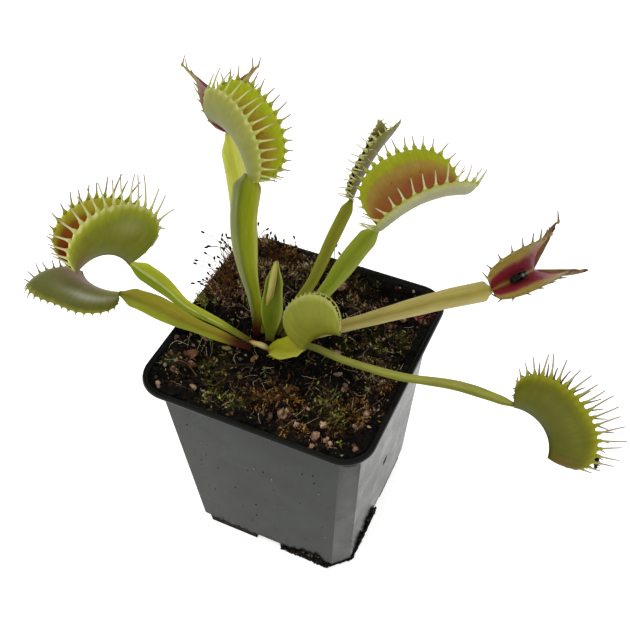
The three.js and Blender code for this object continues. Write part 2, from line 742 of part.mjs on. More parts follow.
// The youngest leaf stands upright in the middle with its trap still folded down in front of it
const UNOPENED = {
  base: 40,
  ring: 0.6,
  level: 87.7,
  path: [[-11.9, 1.9, 96], [-12.1, 5.2, 107], [-12.4, 9.3, 118]],
  faces: [[0.3, -0.9, 0.2], [0.3, -0.8, 0.4]],
  widths: [[0, 3], [0.45, 6.8], [0.75, 5.6], [1, 1.8]],
  folds: [[0, 15], [0.5, 25], [1, 20]],
  stations: 10,
};
const FOLDED_TRAP = {
  path: [[-12.4, 9.2, 117.6], [-12, 6.2, 114.5], [-11.9, 2.8, 109], [-12.3, 0.8, 105]],
  radii: [[0, 0.9], [0.35, 1.5], [0.75, 1.5], [1, 0.5]],
  flatten: 0.75,
};
const BUD = {
  path: [[-10.9, -4, 86.6], [-12.2, -5.5, 89.4], [-15, -6.2, 90.2]],
  radii: [[0, 0.9], [0.4, 1.3], [0.8, 1.2], [1, 0.6]],
  flatten: 0.85,
};

function podSolid({ path, radii, flatten }) {
  const curve = new THREE.CatmullRomCurve3(path.map(vec), false, "centripetal");
  const rings = [];
  for (let i = 0; i <= POD.stations; i++) {
    const t = i / POD.stations;
    const tangent = curve.getTangentAt(t);
    const u = new THREE.Vector3(1, 0.1, 0.05).cross(tangent).normalize();
    const v = new THREE.Vector3().crossVectors(tangent, u);
    rings.push(ellipse(curve.getPointAt(t), u, v, eased(radii, t), flatten, POD.sides));
  }
  return solidLoft(rings);
}

// Prey lies along a trap's midrib: a long abdomen, a round thorax and a small head
const PREY = [
  { name: "prey_right", leaf: "leaf_right_long", share: 0.5, lift: 3.1, length: 6.6 },
  { name: "prey_back", leaf: "leaf_back_narrow", share: 0.62, lift: 8.2, length: 6 },
  { name: "prey_front", leaf: "leaf_front_right", share: 0.9, lift: 12.2, length: 4 },
];

function preySolid({ leaf, share, lift, length }) {
  const trap = jointed(LEAVES.find((l) => l.name === leaf));
  const { centre, out, across } = trapFrame(trap, share);
  const along = new THREE.Vector3().crossVectors(out, across);
  const lumps = [
    [-0.24, 0.3, 0.17],
    [0.12, 0.19, 0.17],
    [0.34, 0.13, 0.13],
  ];
  let prey;
  for (const [shift, half, thick] of lumps) {
    const lump = new THREE.IcosahedronGeometry(1, 1);
    lump.applyMatrix4(
      new THREE.Matrix4()
        .makeBasis(along, out.clone(), across)
        .setPosition(centre.clone().addScaledVector(out, lift).addScaledVector(along, shift * length))
        .multiply(new THREE.Matrix4().makeScale(half * length, thick * length, thick * length)),
    );
    const solid = solidOf(lump);
    prey = prey ? prey.add(solid) : solid;
  }
  return prey;
}

// Assembly

const group = new THREE.Group();

function add(name, solid, colour, roughness) {
  const tidy = solid.asOriginal().simplify(SLIVER);
  const mesh = new THREE.Mesh(geometryFromSolid(tidy), material(colour, roughness));
  mesh.name = name;
  group.add(mesh);
}

add("pot", potSolid(), COLOURS.pot, 0.42);
const crownRoom = crownSolid(ROOM);
add("soil", soilSolid(crownRoom), COLOURS.soil, 0.95);
add("crown_with_roots", crownSolid(0), COLOURS.crown, 0.8);
function addLeaf(name, solid, colour) {
  add(name, largestBody(solid.subtract(crownRoom)), colour, 0.45);
}

for (const leaf of LEAVES) addLeaf(leaf.name, stalkSolid(leaf).add(trapSolid(jointed(leaf))), COLOURS.leaf);
addLeaf("leaf_unopened", stalkSolid(UNOPENED).add(podSolid(FOLDED_TRAP)), COLOURS.leaf);
addLeaf("leaf_bud", podSolid(BUD), COLOURS.bud);
for (const prey of PREY) add(prey.name, preySolid(prey), COLOURS.prey, 0.6);

export default group;
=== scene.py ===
"""A potted Venus flytrap: fine leaves, pot, soil and moss, with their materials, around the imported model."""
import itertools
import math

import bmesh
import bpy
import numpy as np
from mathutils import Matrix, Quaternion, Vector


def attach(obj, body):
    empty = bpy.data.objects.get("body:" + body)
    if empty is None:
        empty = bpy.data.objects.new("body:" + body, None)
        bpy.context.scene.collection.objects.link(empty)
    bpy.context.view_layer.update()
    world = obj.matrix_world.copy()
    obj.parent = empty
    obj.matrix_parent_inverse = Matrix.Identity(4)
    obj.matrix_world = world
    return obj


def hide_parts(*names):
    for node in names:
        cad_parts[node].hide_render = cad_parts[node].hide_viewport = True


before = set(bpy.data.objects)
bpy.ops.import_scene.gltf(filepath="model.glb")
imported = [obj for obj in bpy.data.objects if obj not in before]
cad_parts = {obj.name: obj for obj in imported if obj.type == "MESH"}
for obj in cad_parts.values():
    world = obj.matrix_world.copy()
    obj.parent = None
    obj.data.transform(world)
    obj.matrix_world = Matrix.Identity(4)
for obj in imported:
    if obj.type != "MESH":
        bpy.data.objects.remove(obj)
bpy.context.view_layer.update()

# Everything is worked out in millimetres, and turned into metres when a mesh is made
MILLIMETRE = 0.001
# Steps between two given points of a curve, before it is cut into even ones
CURVE_STEPS = 60
# Random values that the noise is made of, and how it picks one for each cell
NOISE_VALUES = 4096
NOISE_KEYS = np.array([73856093, 19349663, 83492791])
# Seeds of the random draws and of the noise. Each leaf and each insect adds its own step to its seed.
SEEDS = {
    "leaves": 100, "unopened": 61, "folded_trap": 62, "bud": 63, "prey": 300,
    "crumbs": 11, "grains": 12, "fibres": 13, "moss": 14, "spore_stalks": 15, "sprouts": 16,
    "litter": 17, "clinging_soil": 18, "clinging_clumps": 81, "pumice": 51, "tufts": 91,
    "soil_tones": 31, "moss_fringe": 35, "scraps": 71,
}
LEAF_SEED_STEP = 20


# Maths shared by all the pieces


def colour(code):
    """Linear red, green and blue of a hex colour."""
    value = np.array([int(code[i : i + 2], 16) for i in (0, 2, 4)]) / 255
    return np.where(value <= 0.04045, value / 12.92, ((value + 0.055) / 1.055) ** 2.4)


def unit(vectors):
    vectors = np.asarray(vectors, float)
    return vectors / np.linalg.norm(vectors, axis=-1, keepdims=True)


def mix(a, b, t):
    return a + (b - a) * t


def stacked(x, y, z):
    """Points from coordinates that may differ in shape, such as a column, a row and a single value."""
    return np.stack(np.broadcast_arrays(x, y, z), -1)


def smooth(low, high, t):
    """0 below low, 1 above high, with a soft step between."""
    x = np.clip((np.asarray(t, float) - low) / (high - low), 0, 1)
    return x * x * (3 - 2 * x)


def eased(table, t):
    """Value at t of a table of [position, value] pairs, with a soft step from each to the next."""
    t = np.asarray(t, float)
    value = np.full(t.shape, float(table[0][1]))
    for (a, before), (b, after) in zip(table, table[1:]):
        value = value + (after - before) * smooth(a, b, t)
    return value


def ramp_stops(ramp):
    """Positions and colours of a ramp, which is written like this: "0 8c8a48, 0.5 a09c34, 1 b0ad48"."""
    stops = [stop.split() for stop in ramp.split(", ")]
    return [float(position) for position, _ in stops], np.array([colour(code) for _, code in stops])


def shaded(ramp, t):
    """Colour of a ramp at t."""
    positions, colours = ramp_stops(ramp)
    return np.stack([np.interp(t, positions, channel) for channel in colours.T], -1)


def noise(points, size, seed):
    """Soft noise from -1 to 1 whose features are about this size."""
    values = np.random.default_rng(seed).uniform(-1, 1, NOISE_VALUES)
    at = np.asarray(points, float) / size
    cell = np.floor(at).astype(np.int64)
    within = at - cell
    within = within * within * (3 - 2 * within)
    total = np.zeros(at.shape[:-1])
    for corner in itertools.product((0, 1), repeat=3):
        key = (cell + corner) @ NOISE_KEYS
        weight = np.where(corner, within, 1 - within).prod(-1)
        total += weight * values[key % NOISE_VALUES]
    return total


NOISE_LAYERS = 3


def layered(points, size, seed):
    """Noise with finer and weaker layers on top of the first one."""
    total = sum(noise(points, size / 2**k, seed + k) / 2**k for k in range(NOISE_LAYERS))
    return total / (2 - 0.5 ** (NOISE_LAYERS - 1))


def run_along(points):
    """Distance along a route at each of its points."""
    return np.r_[0, np.cumsum(np.linalg.norm(np.diff(points, axis=0), axis=1))]


def bell(offset):
    """1 where the offset is 0, and less and less to both sides."""
    return np.exp(-(offset**2))


def fading(x, y, centre_x, centre_y, radius):
    """1 at a place, and less and less round it."""
    return np.exp(-((x - centre_x) ** 2 + (y - centre_y) ** 2) / radius**2)


def spline(points, count):
    """Evenly spaced points of a smooth curve through the given ones, with its unit tangents."""
    p = np.asarray(points, float)
    p = np.vstack([2 * p[0] - p[1], p, 2 * p[-1] - p[-2]])
    t = np.linspace(0, 1, CURVE_STEPS, endpoint=False)[:, None]
    dense = []
    for a, b, c, d in zip(p, p[1:], p[2:], p[3:]):
        before, between, after = (math.sqrt(np.linalg.norm(v - u)) for u, v in ((a, b), (b, c), (c, d)))
        start = ((b - a) / before - (c - a) / (before + between) + (c - b) / between) * between
        end = ((c - b) / between - (d - b) / (between + after) + (d - c) / after) * between
        squared = 3 * (c - b) - 2 * start - end
        cubed = 2 * (b - c) + start + end
        dense.append(b + start * t + squared * t**2 + cubed * t**3)
    dense = np.vstack([*dense, p[-2:-1]])
    run = run_along(dense)
    even = np.linspace(0, run[-1], count + 1)
    curve = np.stack([np.interp(even, run, dense[:, k]) for k in range(3)], -1)
    return curve, unit(np.gradient(curve, axis=0))


# Mesh building


def linked(name, data):
    """A new object in the scene for a mesh, a light or a camera."""
    made = bpy.data.objects.new(name, data)
    bpy.context.collection.objects.link(made)
    return made


class Piece:
    """Collects points, faces and the colour and grain of each point, and makes one object of them."""

    def __init__(self, name):
        self.name = name
        self.size = 0
        self.points, self.quads, self.tris, self.tints, self.grains = [], [], [], [], []

    def add(self, shape, tint, grain=None):
        points, quads, tris = shape
        points = np.asarray(points, float).reshape(-1, 3)
        self.points.append(points)
        self.quads.append(np.asarray(quads, int).reshape(-1, 4) + self.size)
        self.tris.append(np.asarray(tris, int).reshape(-1, 3) + self.size)
        self.tints.append(np.broadcast_to(tint, points.shape))
        self.grains.append(points if grain is None else grain)
        self.size += len(points)

    def add_rings(self, rings, tint, grain):
        """A loft through rings, whose two end points take the mean tint and grain of their rings."""
        ends = [0, -1]
        tint, grain = (np.concatenate([part.reshape(-1, 3), part.mean(1)[ends]]) for part in (tint, grain))
        self.add(loft(rings), tint, grain)

    def make(self, material, replaces=(), crease=None):
        points = np.concatenate(self.points) * MILLIMETRE
        quads, tris = np.concatenate(self.quads), np.concatenate(self.tris)
        loops = np.concatenate([quads.ravel(), tris.ravel()])
        starts = np.r_[np.arange(len(quads)) * 4, len(quads) * 4 + np.arange(len(tris)) * 3]
        mesh = bpy.data.meshes.new(self.name)
        mesh.vertices.add(len(points))
        mesh.vertices.foreach_set("co", points.ravel())
        mesh.loops.add(len(loops))
        mesh.loops.foreach_set("vertex_index", loops)
        mesh.polygons.add(len(starts))
        mesh.polygons.foreach_set("loop_start", starts)
        mesh.update(calc_edges=True)
        tint = np.column_stack([np.clip(np.concatenate(self.tints), 0, 1), np.ones(len(points))])
        mesh.attributes.new("tint", "FLOAT_COLOR", "POINT").data.foreach_set("color", tint.ravel())
        grain = np.concatenate(self.grains).ravel()
        mesh.attributes.new("grain", "FLOAT_VECTOR", "POINT").data.foreach_set("vector", grain)
        mesh.shade_smooth()
        if crease:
            mesh.set_sharp_from_angle(angle=math.radians(crease))
        mesh.materials.append(material)
        made = linked(self.name, mesh)
        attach(made, "root")
        if replaces:
            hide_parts(*replaces)


def loft(rings):
    """A closed tube through rings of points (stations, around, 3), with a fan at each end."""
    stations, around = rings.shape[:2]
    points = np.concatenate([rings.reshape(-1, 3), rings[0].mean(0)[None], rings[-1].mean(0)[None]])
    here = np.arange(around)
    following = (here + 1) % around
    row = np.arange(stations - 1)[:, None] * around
    quads = np.stack([row + here, row + following, row + around + following, row + around + here], -1)
    middle = np.full(around, stations * around)
    last = (stations - 1) * around
    start = np.stack([middle, following, here], -1)
    end = np.stack([middle + 1, last + here, last + following], -1)
    return points, quads.reshape(-1, 4), np.concatenate([start, end])


def tubes(paths, wide, thick=None, across=None, *, sides):
    """Many tubes at once: paths is (tubes, stations, 3), and wide and thick are radii (tubes, stations)."""
    count = len(paths)
    thick = wide if thick is None else thick
    tangent = unit(np.gradient(paths, axis=1))
    if across is None:
        chord = unit(paths[:, -1] - paths[:, 0] + 1e-9)
        away = np.where(np.abs(chord[:, 2:]) > 0.8, [1.0, 0, 0], [0, 0, 1.0])
        across = np.cross(chord, away)
    a = np.broadcast_to(across[:, None, :], paths.shape)
    a = unit(a - (a * tangent).sum(-1, keepdims=True) * tangent)
    b = np.cross(tangent, a)
    turn = np.arange(sides) / sides * 2 * math.pi
    ring = (
        paths[:, :, None]
        + a[:, :, None] * (np.cos(turn)[:, None] * wide[:, :, None, None])
        + b[:, :, None] * (np.sin(turn)[:, None] * thick[:, :, None, None])
    )
    points, quads, tris = loft(ring[0])
    points = np.concatenate([ring.reshape(count, -1, 3), paths[:, :1], paths[:, -1:]], axis=1)
    step = (np.arange(count) * points.shape[1])[:, None, None]
    return points.reshape(-1, 3), (quads + step).reshape(-1, 4), (tris + step).reshape(-1, 3)


def tube_share(count, stations, sides):
    """How far along its tube each point made by tubes() is, from 0 to 1."""
    along = np.repeat(np.linspace(0, 1, stations), sides)
    return np.tile(np.r_[along, 0, 1], count)


def ball(level):
    """Points and faces of a ball of radius 1."""
    build = bmesh.new()
    bmesh.ops.create_icosphere(build, subdivisions=level, radius=1)
    points = np.array([v.co for v in build.verts])
    tris = np.array([[v.index for v in f.verts] for f in build.faces])
    build.free()
    return points, np.empty((0, 4), int), tris


def spun(count, rng):
    """Random rotations, as matrices."""
    w, x, y, z = unit(rng.normal(size=(count, 4))).T
    return np.stack([
        np.stack([1 - 2 * (y * y + z * z), 2 * (x * y - z * w), 2 * (x * z + y * w)], -1),
        np.stack([2 * (x * y + z * w), 1 - 2 * (x * x + z * z), 2 * (y * z - x * w)], -1),
        np.stack([2 * (x * z - y * w), 2 * (y * z + x * w), 1 - 2 * (x * x + y * y)], -1),
    ], -2)


def scattered(shape, places, sizes, rng, rough):
    """Copies of a shape in one mesh, each scaled, roughened and turned at random."""
    points, quads, tris = shape
    count = len(places)
    lumpy = points[None] * (1 + rng.uniform(-rough, rough, (count, len(points), 1)))
    copies = np.einsum("nij,nkj->nki", spun(count, rng), lumpy * sizes[:, None, :]) + places[:, None, :]
    step = (np.arange(count) * len(points))[:, None, None]
    return copies.reshape(-1, 3), (quads + step).reshape(-1, 4), (tris + step).reshape(-1, 3)


def add_lumps(piece, places, sizes, rng, rough, ramp, factor=1.0):
    """Small rough lumps, each in one tone of the ramp."""
    shape = scattered(ball(1), places, sizes, rng, rough)
    tones = shaded(ramp, rng.uniform(0, 1, len(places))) * factor
    piece.add(shape, np.repeat(tones, len(shape[0]) // len(places), axis=0))


def add_wires(piece, paths, radius, sides, tint):
    """Tubes of one thickness along these paths."""
    piece.add(tubes(paths, np.full(paths.shape[:2], radius), sides=sides), tint)


def add_turned(piece, shape, points, axes, place, tint):
    """A shape with these points, turned to the given axes and moved to its place."""
    piece.add((place + points @ np.array(axes), *shape[1:]), tint)


# Materials


def new_material(name):
    """A new material, its node tree and its shader."""
    material = bpy.data.materials.new(name)
    material.use_nodes = True
    return material, material.node_tree, material.node_tree.nodes["Principled BSDF"]


def feed(tree, target, **inputs):
    """Fills a node's inputs, each with a value or with another node's output."""
    for name, value in inputs.items():
        socket = target.inputs[name.replace("_", " ")]
        if isinstance(value, bpy.types.NodeSocket):
            tree.links.new(value, socket)
        else:
            socket.default_value = value


def node(tree, kind, settings=None, output=None, **inputs):
    """Adds a node, and gives its named output or else the first one in use."""
    made = tree.nodes.new("ShaderNode" + kind)
    for name, value in (settings or {}).items():
        setattr(made, name, value)
    feed(tree, made, **inputs)
    return made.outputs[output] if output else next(socket for socket in made.outputs if socket.enabled)


def mapped(tree, value, start, end):
    """A value carried from one range over to another, and kept within it."""
    low, high = start
    least, most = end
    return node(tree, "MapRange", Value=value, From_Min=low, From_Max=high, To_Min=least, To_Max=most)


def scaled(tree, tint, factor):
    return node(tree, "VectorMath", {"operation": "SCALE"}, Vector=tint, Scale=factor)


def added(tree, first, second):
    made = tree.nodes.new("ShaderNodeMath")
    for socket, value in zip(made.inputs, (first, second)):
        tree.links.new(value, socket)
    return made.outputs["Value"]


def two_tones(tree, factor, ramp):
    """A colour ramp with two stops."""
    made = tree.nodes.new("ShaderNodeValToRGB")
    tree.links.new(factor, made.inputs["Fac"])
    for element, position, tint in zip(made.color_ramp.elements, *ramp_stops(ramp)):
        element.position = position
        element.color = (*tint, 1)
    return made.outputs["Color"]


def stretched_noise(tree, place, scale):
    """Noise over places that are first scaled along each axis."""
    stretched = node(tree, "Mapping", Vector=place, Scale=scale)
    return node(tree, "TexNoise", Vector=stretched, Scale=1.0, Detail=4.0, Roughness=0.6)


def bumps(tree, height, millimetres, strength=1.0, **more):
    return node(tree, "Bump", Height=height, Strength=strength, Distance=millimetres * MILLIMETRE, **more)


# Nearly all of a noise texture's values lie between these
NOISE_RANGE = (0.3, 0.7)


def surface(name, roughness, grain_scale, tint_swing, bump, specular):
    """A material in the points' tint, varied by noise along the grain that also makes its bumps.

    grain_scale holds features per millimetre of grain. tint_swing is the darkest and lightest factor.
    bump is its height in millimetres, and roughness its least and most.
    """
    material, tree, shader = new_material(name)
    tint = node(tree, "Attribute", {"attribute_name": "tint"})
    grain = node(tree, "Attribute", {"attribute_name": "grain"}, "Vector")
    spots = stretched_noise(tree, grain, grain_scale)
    feed(
        tree,
        shader,
        Base_Color=scaled(tree, tint, mapped(tree, spots, NOISE_RANGE, tint_swing)),
        Roughness=mapped(tree, spots, NOISE_RANGE, roughness),
        Specular_IOR_Level=specular,
        Normal=bumps(tree, spots, bump),
    )
    return material


# Camera: where it stands and what it looks at, in degrees and mm, as solved from the pot's rim and foot

CAMERA_AZIMUTH = 25.47
CAMERA_ELEVATION = 46.79
CAMERA_DISTANCE = 344.8
CAMERA_TARGET = (3.06, 8.73, 100.0)
CAMERA_ROLL = -1.05
LENS = 52.96
SENSOR_WIDTH = 36
# Nearest distance that the camera sees, in metres
NEAREST = 0.01


def make_camera():
    azimuth, elevation = math.radians(CAMERA_AZIMUTH), math.radians(CAMERA_ELEVATION)
    back = Vector((
        math.sin(azimuth) * math.cos(elevation),
        -math.cos(azimuth) * math.cos(elevation),
        math.sin(elevation),
    ))
    data = bpy.data.cameras.new("camera")
    data.lens = LENS
    data.sensor_width = SENSOR_WIDTH
    data.clip_start = NEAREST
    camera = linked("camera", data)
    camera.rotation_mode = "QUATERNION"
    roll = Quaternion((0, 0, 1), math.radians(CAMERA_ROLL))
    camera.rotation_quaternion = back.to_track_quat("Z", "Y") @ roll
    camera.location = (Vector(CAMERA_TARGET) + back * CAMERA_DISTANCE) * MILLIMETRE
    bpy.context.scene.camera = camera


# Leaves: each is a winged stalk that ends in a hinged trap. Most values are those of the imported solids.

# Middle of the crown, and the ring round it and the level where the stalks begin
CROWN = {"x": -12.5, "y": -0.5}
BASE_RING = 6.4
BASE_LEVEL = 85.6
# Height of the rib below the stalk, along it
STALK_RIBS = [[0, 1.1], [0.5, 1.3], [0.93, 1.1], [1, 0.9]]
LOBE_SQUARENESS = 3
# A lobe is at least this high at its ends
LEAST_LOBE = 1.4
# How much of its height each lobe has along the midrib, and how far its ends overhang
EVEN_LOBES = ([[0, 1]], [[0, 1]])
NO_OVERHANG = ((0, 0), (0, 0))
# Share of the midrib over which such an overhang fades out
OVERHANG_REACH = 0.16
# Where along the midrib the lobes rise to a horn
HORN = {"share": 0.92, "width": 0.055}
TRAP_RIB = 1.0
TRAP_GROOVE = 0.4

# Colours of a leaf. "outer" and "inner" run from the midrib of the trap to its margin, "tooth" and
# "far_tooth" from a tooth's root to its tip, "stalk" from the crown to the trap, and "stripes" across the
# stalk, which are partly its own bands and partly painted shade in the groove along its middle, with a painted
# highlight line on some stalks. "far_side" is the lobe with the far teeth. "spots" hold the side of the lobe,
# 1 for its outer and -1 for its inner face, the place along and up the lobe, the reach along and up, a colour,
# and how strong it is. Some spots are stains and some are painted highlights. A side or face of 0 means both.
# Each leaf names what differs from these.
PALETTE = {
    "outer": "0 8c8a48, 0.25 8a8a40, 0.8 91922f, 0.93 a5a43a, 1 b0ad48",
    "inner": "0 8a6a2c, 0.55 90702c, 0.74 95902a, 1 a3a332",
    "tooth": "0 a8aa50, 0.1 b8b87c, 0.5 b4ab84, 0.8 9c8a6a, 1 806850",
    "far_tooth": "0 9aa02c, 0.16 a8a44c, 0.4 a89468, 1 846848",
    "far_side": 0,
    "stalk": "0 3c1606, 0.1 4a2a0c, 0.24 76721c, 0.7 8c8c24, 1 98962c",
    "stripes": "-1 9aa03c, -0.4 8a901c, 0 788010, 0.4 8c921e, 1 a0a440",
    "spots": [],
    "under": "8c8f3c",
}
